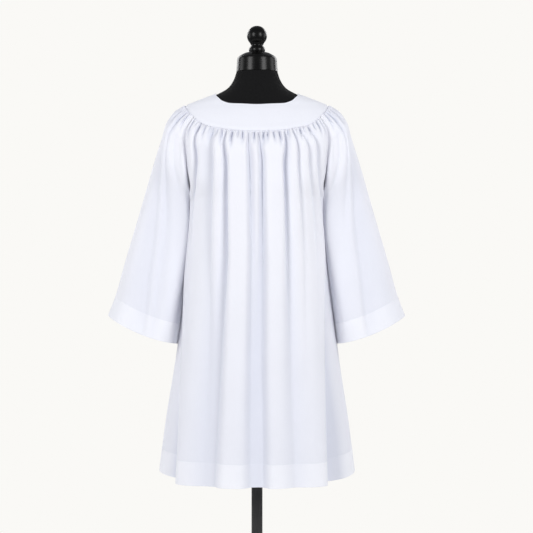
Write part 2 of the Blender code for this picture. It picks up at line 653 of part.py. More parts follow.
def main():
    for obj in list(bpy.data.objects):
        bpy.data.objects.remove(obj, do_unlink=True)
    surplice = bpy.data.collections.new("Surplice on a dress form")
    bpy.context.scene.collection.children.link(surplice)

    cloth = make_material("White cloth", (0.84, 0.85, 0.92), 0.75)
    jersey = make_material("Black jersey", (0.012, 0.012, 0.013), 0.85)
    lacquer = make_material("Black lacquer", (0.010, 0.010, 0.011), 0.22)
    steel = make_material("Black painted steel", (0.014, 0.014, 0.015), 0.40)

    make_yoke("yoke_back", YOKE_BACK_ANGLES, surplice, cloth)
    make_yoke("yoke_front", YOKE_FRONT_ANGLES, surplice, cloth)
    make_panel("back", BACK, surplice, cloth)
    make_panel("front", FRONT, surplice, cloth)
    make_sleeve("sleeve_right", 1.0, RIGHT_SLEEVE_FOLDS, surplice, cloth)
    make_sleeve("sleeve_left", -1.0, LEFT_SLEEVE_FOLDS, surplice, cloth)

    make_torso("form_torso", surplice, jersey)
    make_turned("form_neck_cap", CAP_PROFILE, surplice, lacquer, 24)
    make_turned("form_finial", finial_profile(), surplice, lacquer, 20)
    make_turned("form_base", BASE_PROFILE, surplice, steel, 36)

    pole_foot = BASE_PROFILE[0][1] + SEAT_GAP
    pole_top = FORM_FLOOR - SEAT_GAP
    bm = bmesh.new()
    bmesh.ops.create_cone(bm, cap_ends=True, segments=20, radius1=POLE_RADIUS, radius2=POLE_RADIUS,
                          depth=pole_top - pole_foot)
    bmesh.ops.translate(bm, verts=bm.verts, vec=(0.0, 0.0, (pole_top + pole_foot) / 2))
    pole = add_object("form_pole", finish_mesh(bm, "form_pole"), surplice, steel)
    pole.data.set_sharp_from_angle(angle=math.radians(40))


YOKE_BACK_ANGLES = even_angles(-SHOULDER_SEAM, SHOULDER_SEAM, YOKE_BACK_COLUMNS)
YOKE_FRONT_ANGLES = even_angles(SHOULDER_SEAM, 360.0 - SHOULDER_SEAM, YOKE_FRONT_COLUMNS)
SLEEVE_TOP_ANGLES = even_angles(YOKE_CORNER + CORNER_CLEARANCE,
                                180.0 - YOKE_CORNER - CORNER_CLEARANCE,
                                SLEEVE_GATHERS * COLUMNS_PER_GATHER)
main()
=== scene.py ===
"""Gathered surplice on a limbless dress form: its cloth, folds, finishes and studio.

Metres, +Z up.  The back of the garment faces -Y and the wearer's right side is +X.
Angles go round the figure from the middle of the back (0) over the right side (90)
to the middle of the front (180), in degrees.  The tables of folds are in millimetres.
"""
import math
from collections import namedtuple

import bmesh
import bpy
import numpy as np
from bpy.props import FloatProperty, FloatVectorProperty, IntProperty, PointerProperty
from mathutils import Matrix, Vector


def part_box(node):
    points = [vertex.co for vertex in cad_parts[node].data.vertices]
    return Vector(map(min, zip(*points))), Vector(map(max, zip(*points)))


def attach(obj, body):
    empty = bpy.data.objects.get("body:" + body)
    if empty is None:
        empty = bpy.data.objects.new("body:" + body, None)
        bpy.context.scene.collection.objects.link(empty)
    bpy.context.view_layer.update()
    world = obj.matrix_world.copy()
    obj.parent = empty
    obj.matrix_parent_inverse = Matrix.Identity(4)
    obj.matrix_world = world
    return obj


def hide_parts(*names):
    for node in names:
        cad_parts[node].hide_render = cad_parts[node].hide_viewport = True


bl_info = {
    "name": "Gathered Surplice",
    "version": (1, 0, 0),
    "blender": (4, 5, 0),
    "location": "3D View > Sidebar > Surplice",
    "description": "Models a gathered surplice with a round yoke on a limbless dress form",
    "category": "Add Mesh",
}

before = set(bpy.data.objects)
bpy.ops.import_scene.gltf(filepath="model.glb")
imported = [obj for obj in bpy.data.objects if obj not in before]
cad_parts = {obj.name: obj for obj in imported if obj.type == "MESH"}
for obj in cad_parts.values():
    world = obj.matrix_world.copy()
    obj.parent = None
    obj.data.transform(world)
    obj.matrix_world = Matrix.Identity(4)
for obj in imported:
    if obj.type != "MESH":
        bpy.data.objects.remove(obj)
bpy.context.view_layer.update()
BODY = "root"
MM = 0.001

# ---------------------------------------------------------------- the cut
YOKE_CORNER = 68.0           # where the sleeve's back seam meets the yoke
SHOULDER_SEAM = 97.0
UNDERARM_HEIGHT = 1.187
HEM_BACK_HEIGHT = 0.483
HEM_SIDE_HEIGHT = 0.511
BODY_HEM_DEPTH = 0.055
SLEEVE_HEM_DEPTH = 0.050
SLEEVE_LENGTH = 0.578        # along the outer edge
SLEEVE_UNDERARM = 0.383      # where along the sleeve the two slanting seams meet
SLEEVE_INNER_HEM = 0.827     # height of the hem at the underarm seam
SLEEVE_CLEARANCE = 0.0010
SLEEVE_TAKE_OFF = 0.10
SLEEVE_HEM_SAG = 0.010
SEAM_DROP = 0.0006           # from the yoke's edge to the gathered cloth
SIDE_SEAM_GAP = 0.0010
UNDERARM_SAG = 0.012
UNDERARM_RADIUS = 0.167
LIFT_AT_SEAM = 0.0024        # of the gathered cloth off the form, at the yoke
LIFT_BELOW = 0.0060
TUCK_LIFT = 0.0009           # of the seam allowance, which lies under the yoke
YOKE_LIFT = 0.0023
PUFF = 0.0068                # how far the gathers stand up below the seam
LEAST_LIFT = 0.0014          # the cloth's middle never comes nearer to the form
RIDGE_LIFT = 0.0080          # the ridges between the long folds stand out from the plain form
SEAM_DIP = 0.0014            # the two edges of a seam roll in
UNDERARM_DIP = 0.0100        # and more so towards the underarm, where the cloth falls into a hollow
BODY_ROLL = 0.0050           # roll of the body's cloth along its side, from the underarm down
BODY_ROLL_PLACE = 0.017
BODY_ROLL_WIDTH = 0.010
SLEEVE_ROLL = 0.0065         # roll of cloth along the sleeve's seam, up against the body
SLEEVE_ROLL_PLACE = 0.007
SLEEVE_ROLL_WIDTH = 0.006
SIDE_TUCK = 0.0080           # below the underarm the side seam lies in behind a soft ridge
SIDE_TUCK_TOP = 1.120        # from this height down
SIDE_TUCK_RUN = 0.110
BODY_PAINTED_SHADE = 0.32            # painted shade: single cloth is greyer above the hem, more so towards the bottom
SLEEVE_PAINTED_SHADE = 0.36           # and painted shade along the arm, away from its outer edge
YOKE_SHADE = 0.13            # the yoke is a little greyer than the hems
HEM_STITCH = 0.0020           # from the hem's upper edge to its row of stitches
YOKE_STITCH = 0.0022          # from the yoke's lower edge
NECK_STITCH = 0.0055          # from the neckline
SEAM_LAP = 0.45              # the sleeve's edge lies under the body's, in degrees
HEM_SQUARENESS = 14          # how close to the sides the hem starts to rise
ROW_STEP = 0.0004            # between the rows at the hem's edges
# Steps in which a slanting seam's dip deepens, as (share, start, run) along the seam.
DIP_STEPS = ((0.4, 0.45, 0.30), (0.6, 0.60, 0.35))
DIP_PLACE = 0.78             # along the seam, where the body's dip is widest
DIP_RUN = 0.12
BODY_DIP_WIDTH = 0.0026      # of the dip beside the seam: on the body, and on the sleeve
SLEEVE_DIP_WIDTH = 0.0016
CREASE_DEPTH = 0.009         # a gather this deep, or a fold, has its painted shade in full
FOLD_CREASE_DEPTH = 0.020
SIDE_TUCK_SHARE = 0.6        # of the body's tuck that the sleeve follows
SLEEVE_COLUMNS = 176
SLEEVE_EASING = 90           # passes that even out a sleeve's rings
YOKE_COLUMNS = 200
YOKE_DEPTH = 0.072           # from the neckline to the lower edge
YOKE_CLOTH_DEPTH = 0.075     # the same in the cloth's own coordinates
PUCKER = 0.00022             # small ripples and the dents of the stitches
PUCKER_PITCH = 0.0095
YOKE_EDGE_ROLL = 0.0008
YOKE_SEAM_DIP = 0.0007
TORSO_COLUMNS = 240
TORSO_SEAMS = (0.0, 38.0, 90.0, 142.0, 180.0, 218.0, 270.0, 322.0, 360.0)
TORSO_SEAM_DEPTH = 0.0005
MERGE_DISTANCE = 0.00001
THREAD_PITCH = 0.0006        # of the weave
STITCH_PITCH = 0.0028
STITCH_SHARE = 0.72          # of the pitch that the thread covers
STITCH_HALF_WIDTH = 0.00028
GROOVE_HALF_WIDTH = 0.0007
WALES = 420.0                # of the jersey, per radian
COURSE_PITCH = 0.0013
LATHE_PITCH = 0.0009
CAMERA_PLACE = (0.0242, -4.2, 1.023)
LIGHT_AIM = 1.05             # height that the lights point at

# ---------------------------------------------------------------- main forms
Section = namedtuple("Section", "height half_width back front")


def rows_of(kind, rows):
    """Table of plain rows, each with its columns named."""
    return tuple(kind(*row) for row in rows)



FORM_SECTIONS = rows_of(Section, (
    (0.7600, 0.1580, 0.1220, 0.1180),
    (0.8400, 0.1650, 0.1350, 0.1260),
    (0.9300, 0.1520, 0.1220, 0.1220),
    (1.0200, 0.1360, 0.1040, 0.1180),
    (1.1100, 0.1400, 0.1180, 0.1320),
    (1.1870, 0.1480, 0.1310, 0.1420),
    (1.2400, 0.1680, 0.1340, 0.1430),
    (1.3000, 0.1950, 0.1320, 0.1360),
    (1.3580, 0.2075, 0.1230, 0.1190),
    (1.3850, 0.2060, 0.1100, 0.1060),
    (1.4120, 0.1960, 0.0930, 0.0950),
    (1.4305, 0.1765, 0.0790, 0.0865),
    (1.4480, 0.1360, 0.0715, 0.0800),
    (1.4605, 0.1035, 0.0665, 0.0745),
    (1.4780, 0.0740, 0.0620, 0.0680),
    (1.4985, 0.0600, 0.0560, 0.0620),
    (1.5185, 0.0530, 0.0530, 0.0530),
))
CLOTH_SECTIONS = rows_of(Section, (
    (0.4800, 0.2500, 0.2060, 0.2040),
    (0.6400, 0.2300, 0.1900, 0.1900),
    (0.7600, 0.2120, 0.1780, 0.1790),
    (0.9000, 0.1940, 0.1670, 0.1690),
    (1.0400, 0.1785, 0.1600, 0.1660),
    (1.1870, 0.1670, 0.1540, 0.1650),
    (1.2400, 0.1880, 0.1520, 0.1640),
    (1.3000, 0.2050, 0.1460, 0.1560),
    (1.3580, 0.2150, 0.1320, 0.1290),
    (1.4120, 0.2050, 0.1010, 0.1030),
))

YokeStation = namedtuple("YokeStation", "angle neck_height edge_height")

YOKE_STATIONS = rows_of(YokeStation, (
    (0.0, 1.4270, 1.3580),
    (27.0, 1.4290, 1.3610),
    (42.0, 1.4305, 1.3670),
    (53.0, 1.4370, 1.3740),
    (61.0, 1.4460, 1.3850),
    (70.0, 1.4535, 1.4030),
    (80.0, 1.4592, 1.4215),
    (90.0, 1.4605, 1.4300),
    (100.0, 1.4585, 1.4210),
    (110.0, 1.4535, 1.4010),
    (122.0, 1.4430, 1.3740),
    (137.0, 1.4240, 1.3450),
    (156.0, 1.4000, 1.3200),
    (180.0, 1.3880, 1.3110),
))

# Rings of a sleeve, from the yoke (0) to the hem (1).  The outer edge is seen from the back;
# reach is how far the ring's curve is drawn backwards and forwards, opening the angle at which
# it stands off the body's side at the seam, crease how far it is pinched at the outer edge, and
# inner and outer how square the ring is towards the body and towards its outer edge (1 is round).
SleeveRing = namedtuple("SleeveRing", "along outer_x outer_z reach opening crease inner outer")

SLEEVE_RINGS = rows_of(SleeveRing, (
    (0.000, 0.1770, 1.4300, 0.030, 88.0, 0.0, 1.0, 1.0),
    (0.036, 0.1950, 1.4205, 0.052, 88.0, 0.0, 1.0, 1.0),
    (0.071, 0.2120, 1.4080, 0.068, 86.0, 0.0, 1.2, 1.0),
    (0.127, 0.2300, 1.3815, 0.080, 84.0, 0.0, 1.9, 1.1),
    (0.192, 0.2440, 1.3460, 0.082, 76.0, 2.0, 2.6, 1.2),
    (0.288, 0.2620, 1.2935, 0.076, 44.0, 4.0, 3.4, 1.3),
    (0.404, 0.2795, 1.2290, 0.070, 6.0, 6.0, 4.2, 1.4),
    (0.551, 0.3030, 1.1470, 0.070, -6.0, 8.0, 3.6, 1.4),
    (0.744, 0.3350, 1.0400, 0.088, 4.0, 9.0, 2.0, 1.4),
    (0.913, 0.3610, 0.9460, 0.103, 8.0, 10.0, 1.5, 1.3),
    (1.000, 0.3790, 0.8990, 0.110, 10.0, 10.0, 1.3, 1.3),
))

# ---------------------------------------------------------------- folds, in millimetres
# A gather is a short narrow valley that starts at the seam: its place is along the seam from
# the panel's middle, and drift is how far it has moved sideways 50 mm lower down.
Gather = namedtuple("Gather", "place depth length width drift")

BACK_GATHERS = rows_of(Gather, (
    (-171, 8.0, 62, 2.6, 5), (-158, 4.0, 22, 2.2, 2), (-146, 7.0, 40, 2.6, 4),
    (-138, 3.5, 20, 2.2, 2), (-130, 7.5, 46, 2.5, 3), (-117, 6.0, 34, 2.4, 4),
    (-109, 9.0, 50, 2.6, 0), (-96, 6.0, 30, 2.4, 2), (-86, 9.5, 52, 2.6, 8),
    (-67, 4.0, 20, 2.2, 0), (-60, 10.5, 58, 2.7, 4), (-52, 3.0, 18, 2.2, 0),
    (-45, 6.5, 30, 2.4, 3), (-34, 9.5, 44, 2.6, 4), (-13, 4.0, 20, 2.2, 0), (-6, 10.0, 44, 2.6, 0),
    (17, 11.0, 52, 2.8, -4), (28, 9.0, 40, 2.6, -8), (40, 8.5, 42, 2.5, 4), (48, 3.0, 18, 2.2, 0),
    (55, 10.0, 54, 2.7, 0), (77, 8.5, 34, 2.5, -5), (97, 5.0, 24, 2.4, 0), (107, 8.0, 40, 2.5, -4),
    (117, 6.0, 26, 2.4, 0), (130, 7.0, 40, 2.5, -4), (147, 6.5, 30, 2.4, -6),
    (160, 9.0, 44, 2.6, -6), (171, 6.0, 60, 2.4, -3),
))
FRONT_GATHERS = rows_of(Gather, (
    (-196, 3.5, 42, 2.2, -9), (-187, 7.0, 64, 2.8, -10), (-176, 4.0, 32, 2.1, -8),
    (-166, 7.9, 54, 2.7, -8), (-157, 3.1, 22, 2.0, -6), (-139, 5.7, 38, 2.4, -6),
    (-130, 9.2, 61, 2.8, -5), (-111, 3.5, 26, 2.0, -3), (-102, 10.1, 48, 2.8, -3),
    (-93, 2.9, 19, 1.9, 0), (-66, 7.5, 35, 2.5, -1), (-57, 10.1, 64, 2.8, -3),
    (-47, 3.2, 21, 1.9, 0), (-29, 8.6, 42, 2.6, 0), (-20, 3.8, 22, 2.0, 0), (3, 6.2, 32, 2.3, 0),
    (12, 10.4, 58, 2.8, 2), (21, 2.6, 18, 1.8, 0), (39, 9.8, 45, 2.7, 0), (49, 4.0, 24, 2.0, 1),
    (71, 7.0, 38, 2.4, 2), (80, 9.8, 67, 2.8, 3), (90, 3.1, 19, 1.9, 2), (109, 8.8, 45, 2.7, 4),
    (119, 3.8, 27, 2.0, 4), (138, 9.2, 54, 2.7, 6), (147, 3.2, 24, 2.0, 6), (164, 5.7, 42, 2.4, 8),
    (173, 8.5, 67, 2.8, 10), (184, 3.2, 29, 2.1, 8), (194, 6.2, 48, 2.6, 9),
))

# A long fold runs from its place on the seam down through x at the chest, waist, hip and hem.
# Depths are inwards below the yoke, at the chest, waist and hem; left and right are the widths
# of its two sides (towards -X and +X) at the chest, and low_left and low_right at the hem.
LongFold = namedtuple("LongFold", "seam chest waist hip hem d_yoke d_chest d_waist d_hem "
                      "left right low_left low_right")

FOLD_LEVELS = (0.49, 0.80, 1.05, 1.28)
BACK_FOLDS = rows_of(LongFold, (
    (-146, -151, -163, -176, -200, 9.0, 14.0, 2.0, 0.0, 5, 7, 10, 12),
    (-99, -110, -115, -122, -134, 8.0, 15.0, 10.0, 4.0, 28, 6, 34, 20),
    (-74, -75, -75, -89, -106, 10.0, 18.0, 19.0, 16.0, 10, 5, 58, 14),
    (-20, -18, -13, -15, -15, 9.0, 15.0, 14.0, 11.0, 5, 10, 13, 30),
    (5, 14, 16.5, 13, 16, 9.5, 17.0, 19.0, 16.0, 8, 6, 36, 13),
    (67, 69, 78, 86, 96, 13.0, 19.0, 16.0, 11.0, 5, 10, 26, 30),
    (88, 102, 115, 121, 126, 9.0, 10.0, 3.0, 0.0, 4, 8, 10, 16),
    (107, 129, 146, 152, 158, 7.0, 9.0, 2.0, 0.0, 4, 9, 10, 18),
    (130, 151, 170, 178, 186, 8.0, 10.0, 3.0, 0.0, 6, 8, 14, 16),
    (-190, -165, -178, -194, -211, 0.0, 0.0, 4.0, 38.0, 30, 14, 46, 13),
    (190, 165, 172, 178, 188, 0.0, 0.0, 5.0, 40.0, 14, 30, 14, 56),
))
FRONT_FOLDS = rows_of(LongFold, (
    (-148, -150, -164, -184, -204, 6.5, 8.0, 5.0, 0.0, 8, 8, 14, 12),
    (-120, -118, -128, -136, -150, 5.8, 9.0, 6.0, 4.0, 4, 10, 14, 22),
    (-84, -78, -84, -92, -108, 8.4, 17.0, 19.0, 22.0, 17, 5, 40, 10),
    (-75, -72, -76, -82, -92, 5.0, 6.0, 0.0, 0.0, 4, 6, 8, 8),
    (-38, -37, -40, -44, -50, 6.8, 11.0, 7.0, 6.0, 4, 11, 12, 26),
    (-9, -8, -9, -10, -12, 7.8, 17.0, 18.0, 18.0, 5, 15, 11, 38),
    (30, 29, 33, 36, 41, 6.4, 9.0, 6.0, 4.0, 10, 4, 22, 12),
    (61, 60, 66, 72, 82, 8.4, 18.0, 19.0, 19.0, 18, 5, 44, 10),
    (99, 97, 106, 114, 128, 7.0, 11.0, 8.0, 5.0, 4, 11, 12, 24),
    (128, 124, 134, 142, 152, 5.6, 7.0, 4.0, 0.0, 5, 8, 10, 16),
    (155, 150, 164, 178, 196, 6.2, 8.0, 5.0, 0.0, 9, 9, 12, 14),
    (-190, -165, -178, -194, -212, 0.0, 0.0, 4.0, 44.0, 30, 14, 48, 14),
    (190, 165, 178, 193, 209, 0.0, 0.0, 5.0, 46.0, 14, 30, 14, 46),
))

# A sleeve's gathers are placed along the yoke from its back seam.
SLEEVE_GATHERS = rows_of(Gather, (
    (6, 4.8, 38, 2.2, -3), (15, 7.0, 54, 2.6, 0), (24, 9.8, 112, 3.0, 10), (33, 5.7, 42, 2.4, 6),
    (42, 9.2, 83, 2.9, 8), (51, 4.8, 38, 2.3, 5), (60, 7.9, 70, 2.8, 4), (68, 4.0, 32, 2.2, 2),
    (77, 7.0, 64, 2.8, 0), (86, 4.0, 35, 2.3, -2), (95, 8.5, 74, 2.8, -4), (104, 4.8, 38, 2.3, -4),
    (113, 9.2, 93, 2.9, -8), (122, 5.3, 42, 2.4, -6), (131, 9.2, 106, 3.0, -9),
    (140, 6.2, 48, 2.5, 0), (147, 4.0, 35, 2.2, 3),
))

# A sleeve's long folds go round the ring from the underarm seam (0) over the back (0.25) to the
# outer edge (0.5) and over the front to the seam (1), at the yoke, underarm and hem; start and
# end are along the sleeve, depths inwards at the start and end, and back and front the widths
# towards lower and higher places.
SleeveFold = namedtuple("SleeveFold", "top middle hem start end d_start d_end back front")

LEFT_SLEEVE_FOLDS = rows_of(SleeveFold, (
    (0.13, 0.125, 0.110, 0.03, 0.50, 4.0, 2.0, 15, 15),
    (0.25, 0.265, 0.190, 0.04, 1.15, 7.0, 5.0, 12, 14),
    (0.36, 0.345, 0.245, 0.12, 1.15, 5.0, 8.0, 8, 28),
    (0.57, 0.570, 0.590, 0.10, 1.25, 5.0, 9.0, 18, 26),
    (0.68, 0.690, 0.710, 0.05, 1.25, 7.0, 8.0, 26, 12),
    (0.82, 0.820, 0.810, 0.03, 1.25, 9.0, 9.0, 12, 28),
))
RIGHT_SLEEVE_FOLDS = rows_of(SleeveFold, (
    (0.15, 0.090, 0.070, 0.02, 0.50, 5.0, 2.0, 12, 14),
    (0.25, 0.250, 0.180, 0.04, 0.62, 7.0, 3.0, 10, 12),
    (0.34, 0.320, 0.232, 0.08, 1.15, 6.0, 9.0, 8, 30),
    (0.43, 0.410, 0.390, 0.12, 1.25, 2.0, 4.0, 26, 26),
    (0.60, 0.590, 0.575, 0.10, 1.25, 5.0, 9.0, 26, 18),
    (0.71, 0.700, 0.690, 0.05, 1.25, 7.0, 8.0, 12, 28),
    (0.83, 0.825, 0.815, 0.03, 1.25, 9.0, 9.0, 28, 12),
))

# Turned profiles, as (radius, height) in metres, from the top down.
CAP_PROFILE = (
    (0.0002, 1.5690), (0.0195, 1.5690), (0.0225, 1.5686), (0.0290, 1.5672), (0.0335, 1.5655),
    (0.0350, 1.5643), (0.0370, 1.5636), (0.0410, 1.5613), (0.0440, 1.5592), (0.0468, 1.5572),
    (0.0485, 1.5556), (0.0496, 1.5544), (0.0503, 1.5527), (0.0506, 1.5480), (0.0512, 1.5380),
    (0.0519, 1.5280), (0.0525, 1.5205), (0.0526, 1.5193), (0.0520, 1.5188), (0.0002, 1.5188),
)
BALL_RADIUS = 0.0255
BALL_HEIGHT = 1.6108
FINIAL_NECK = (
    (0.0172, 1.5906), (0.0160, 1.5885), (0.0156, 1.5868), (0.0160, 1.5848), (0.0172, 1.5832),
    (0.0186, 1.5815), (0.0198, 1.5796), (0.0206, 1.5772), (0.0208, 1.5748), (0.0206, 1.5724),
    (0.0201, 1.5706), (0.0196, 1.5693), (0.0002, 1.5693),
)
BASE_PROFILE = (
    (0.0142, 0.0320), (0.0180, 0.0320), (0.0225, 0.0313), (0.0243, 0.0296), (0.0250, 0.0266),
    (0.0262, 0.0236), (0.0290, 0.0200), (0.0330, 0.0172), (0.0400, 0.0153), (0.0520, 0.0141),
    (0.1200, 0.0130), (0.1740, 0.0120), (0.1775, 0.0112), (0.1792, 0.0095), (0.1800, 0.0070),
    (0.1800, 0.0020), (0.1795, 0.0006), (0.1780, 0.0), (0.0002, 0.0),
)
POLE_RADIUS = 0.014


# ---------------------------------------------------------------- settings
def colour_setting(name, description, default):
    return FloatVectorProperty(name=name, description=description, default=default, size=3,
                               min=0, max=1, subtype="COLOR")


def power_setting(name, description, default):
    return FloatProperty(name=name, description=description, default=default, min=0.0,
                         max=500.0, subtype="POWER", unit="POWER")


def thickness_setting(name, description, default, least, most):
    return FloatProperty(name=name, description=description, default=default, min=least,
                         max=most, precision=4, unit="LENGTH")


class SURPLICE_PG_cloth(bpy.types.PropertyGroup):
    """Sizes and colours of the garment."""
    wall: thickness_setting("Cloth", "Thickness of the gathered cloth", 0.0009, 0.0004, 0.0020)
    hem_wall: thickness_setting("Hem", "Thickness where the cloth is turned up",
                                0.0017, 0.0008, 0.0030)
    yoke_wall: thickness_setting("Yoke", "Thickness of the doubled yoke",
                                 0.0016, 0.0008, 0.0030)
    gathering: FloatProperty(name="Gathering", description="Share of the gathers' full depth",
                             default=1.0, min=0.0, max=1.5, subtype="FACTOR")
    folding: FloatProperty(name="Folding", description="Share of the long folds' full depth",
                           default=1.0, min=0.0, max=1.3, subtype="FACTOR")
    columns: IntProperty(name="Columns", description="Threads across a body panel's mesh",
                         default=384, min=64, max=400)
    colour: colour_setting("Cloth colour", "Single layer of white cloth", (0.80, 0.805, 0.86))
    doubled_colour: colour_setting(
        "Doubled colour", "White cloth where it lies double, at hems and yoke",
        (0.812, 0.820, 0.875))
    # painted shade: the cloth's colour down in the gathers and folds, on single cloth and on the
    # yoke
    painted_shade_colour: colour_setting("Crease colour", "White cloth down in the gathers and folds",
                                  (0.65, 0.67, 0.76))


class SURPLICE_PG_form(bpy.types.PropertyGroup):
    """Sizes and colours of the dress form."""
    turning_steps: IntProperty(name="Turning steps", description="Facets round a turned piece",
                               default=96, min=24, max=160)
    jersey_colour: colour_setting("Jersey", "Stretch cover of the torso",
                                  (0.0042, 0.0042, 0.0044))
    lacquer_colour: colour_setting("Lacquer", "Turned cap and finial", (0.0018, 0.0018, 0.0018))
    steel_colour: colour_setting("Painted steel", "Pole and base", (0.012, 0.012, 0.013))


class SURPLICE_PG_stage(bpy.types.PropertyGroup):
    """Floor, light and camera."""
    floor_radius: FloatProperty(name="Floor", description="Radius of the pale floor",
                                default=1.9, min=0.5, max=4.0, unit="LENGTH")
    floor_colour: colour_setting("Floor colour", "Pale warm white", (0.90, 0.89, 0.86))
    backdrop_colour: colour_setting("Backdrop", "Colour behind the object",
                                    (0.956, 0.947, 0.922))
    ambient: FloatProperty(name="Ambient light", description="Strength of the light all round",
                           default=0.28, min=0.0, max=2.0)
    key_power: power_setting("Softboxes", "Power of each of the two softboxes", 57.5)
    side_power: power_setting("Side lights", "Power of each of the side lights", 16.0)
    rear_power: power_setting("Rear lights", "Power of each of the rear lights", 27.0)
    lens: FloatProperty(name="Lens", description="Focal length of the camera",
                        default=111.3, min=20.0, max=300.0, subtype="DISTANCE_CAMERA")


# ---------------------------------------------------------------- curves and surfaces
def smooth(x):
    """Ease from 0 to 1."""
    x = np.clip(x, 0.0, 1.0)
    return x * x * (3.0 - 2.0 * x)


def read_off(table, key, at, column, flat_ends=False):
    """Values of a table's column at places between its rows, on a smooth curve."""
    keys = np.array([getattr(row, key) for row in table])
    values = np.array([getattr(row, column) for row in table])
    slopes = np.diff(values) / np.diff(keys)
    tangents = np.zeros_like(values)
    before, after = slopes[:-1], slopes[1:]
    rising = before * after > 0.0
    tangents[1:-1][rising] = (2.0 * before * after)[rising] / (before + after)[rising]
    if not flat_ends:
        tangents[0], tangents[-1] = slopes[0], slopes[-1]
    at = np.clip(np.asarray(at, float), keys[0], keys[-1])
    i = np.clip(np.searchsorted(keys, at, side="right") - 1, 0, len(keys) - 2)
    step = keys[i + 1] - keys[i]
    t = (at - keys[i]) / step
    t2, t3 = t * t, t * t * t
    return ((2 * t3 - 3 * t2 + 1) * values[i] + (t3 - 2 * t2 + t) * step * tangents[i]
            + (3 * t2 - 2 * t3) * values[i + 1] + (t3 - t2) * step * tangents[i + 1])


def point(x, y, z):
    """Array of points from three arrays."""
    return np.stack(np.broadcast_arrays(x, y, z), axis=-1)


def unit(vectors):
    return vectors / np.linalg.norm(vectors, axis=-1, keepdims=True)


def ring_radius(sections, angle, height, inset=0.0):
    """Distance of an oval section of the figure from its axis."""
    turn = np.radians(angle)
    across, along = np.sin(turn), -np.cos(turn)
    half_width = read_off(sections, "height", height, "half_width") - inset
    depth = np.where(along < 0.0, read_off(sections, "height", height, "back"),
                     read_off(sections, "height", height, "front")) - inset
    return 1.0 / np.hypot(across / half_width, along / depth)


def ring_point(sections, angle, height, inset=0.0):
    turn = np.radians(angle)
    radius = ring_radius(sections, angle, height, inset)
    return point(radius * np.sin(turn), -radius * np.cos(turn), height)


def yoke_height(angle, column):
    """Height of the neckline or of the yoke's outer edge at an angle."""
    from_back = np.abs((np.asarray(angle) + 180.0) % 360.0 - 180.0)
    return read_off(YOKE_STATIONS, "angle", from_back, column, flat_ends=True)


def yoke_point(angle, height, stand_off):
    """Point above the form's surface."""
    step_angle, step_height = 0.5, 0.001
    round_it = (ring_point(FORM_SECTIONS, angle + step_angle, height)
                - ring_point(FORM_SECTIONS, angle - step_angle, height))
    up = (ring_point(FORM_SECTIONS, angle, height + step_height)
          - ring_point(FORM_SECTIONS, angle, height - step_height))
    normal = unit(np.cross(round_it, up))
    lift = np.asarray(stand_off)[..., None] if np.ndim(stand_off) else stand_off
    return ring_point(FORM_SECTIONS, angle, height) + normal * lift


def even_angles(first, last, count):
    """Angles that part the yoke's outer edge into equal lengths, and those lengths."""
    angles = np.linspace(first, last, 601)
    edge = ring_point(FORM_SECTIONS, angles, yoke_height(angles, "edge_height"))
    run = np.concatenate(([0.0], np.cumsum(np.linalg.norm(np.diff(edge, axis=0), axis=1))))
    along = np.linspace(0.0, run[-1], count + 1)
    return np.interp(along, run, angles), along


def grid_normals(points):
    """Normals of a surface given as rows of points, on the side that down x along gives."""
    return unit(np.cross(np.gradient(points, axis=0), np.gradient(points, axis=1)))


def run_lengths(points, axis):
    """Length along the rows (axis 1) or down the columns (axis 0) of a grid of points."""
    steps = np.linalg.norm(np.diff(points, axis=axis), axis=-1)
    start = np.zeros_like(np.take(steps, [0], axis=axis))
    return np.concatenate((start, np.cumsum(steps, axis=axis)), axis=axis)


def valley(offset, left, right):
    """Rounded valley whose two sides have their own widths."""
    return np.exp(-(np.abs(offset) / np.where(offset < 0.0, left, right)) ** 1.7)


def hold_off(points, sections, least):
    """Keep points at least that far outside the plain form, or the cloth without its folds."""
    angle = np.degrees(np.arctan2(points[..., 0], -points[..., 1]))
    height = np.clip(points[..., 2], sections[0].height, sections[-1].height)
    limit = ring_radius(sections, angle, height) + least
    limit = np.where(points[..., 2] < sections[0].height - 0.02, 0.0, limit)
    radius = np.hypot(points[..., 0], points[..., 1])
    grow = np.maximum(1.0, limit / np.maximum(radius, 1e-6))
    held = points.copy()
    held[..., 0] *= grow
    held[..., 1] *= grow
    return held


def gather_depth(gathers, seam, drop):
    """Depth of a table of gathers; seam is along the yoke, drop below it."""
    depth = np.zeros(np.broadcast(seam, drop).shape)
    for gather in gathers:
        length = gather.length * MM
        centre = gather.place * MM + gather.drift * MM * np.minimum(drop / 0.05, 1.6)
        width = gather.width * MM * (1.05 + drop / 0.060)
        swell = (0.5 + 0.5 * smooth(drop / 0.004)) * (1.0 - smooth((drop / length - 0.25) / 0.75))
        depth += gather.depth * MM * swell * valley(seam - centre, width, width)
    return depth


def shade_share(pinch, deep, single_cloth_shade):
    """How much painted shade the cloth has, from 0 to 1: down in a gather or a fold, and on single
    cloth.
    """
    out_of_gather = 1.0 - np.clip(pinch / CREASE_DEPTH, 0.0, 1.0)
    out_of_fold = 1.0 - 0.8 * np.clip(deep / FOLD_CREASE_DEPTH, 0.0, 1.0)
    return 1.0 - out_of_gather * out_of_fold * (1.0 - single_cloth_shade)


# ---------------------------------------------------------------- the body's cloth
def seam_angle(t):
    """Angle off a panel's middle of its slanting seam, from the yoke (0) to the underarm (1)."""
    return YOKE_CORNER + (90.0 - YOKE_CORNER) * t ** 4.5


def seam_dip(t, distance, narrow, width):
    """How far both edges of a slanting seam roll in towards the figure's axis."""
    deep = SEAM_DIP
    for share, start, run in DIP_STEPS:
        deep = deep + share * UNDERARM_DIP * smooth((t - start) / run)
    return deep * np.exp(-(distance / (narrow + width * smooth((t - 0.25) / 0.5))) ** 1.3)


def seam_height(t):
    top = yoke_height(YOKE_CORNER, "edge_height") - SEAM_DROP
    return top + (UNDERARM_HEIGHT - top) * t


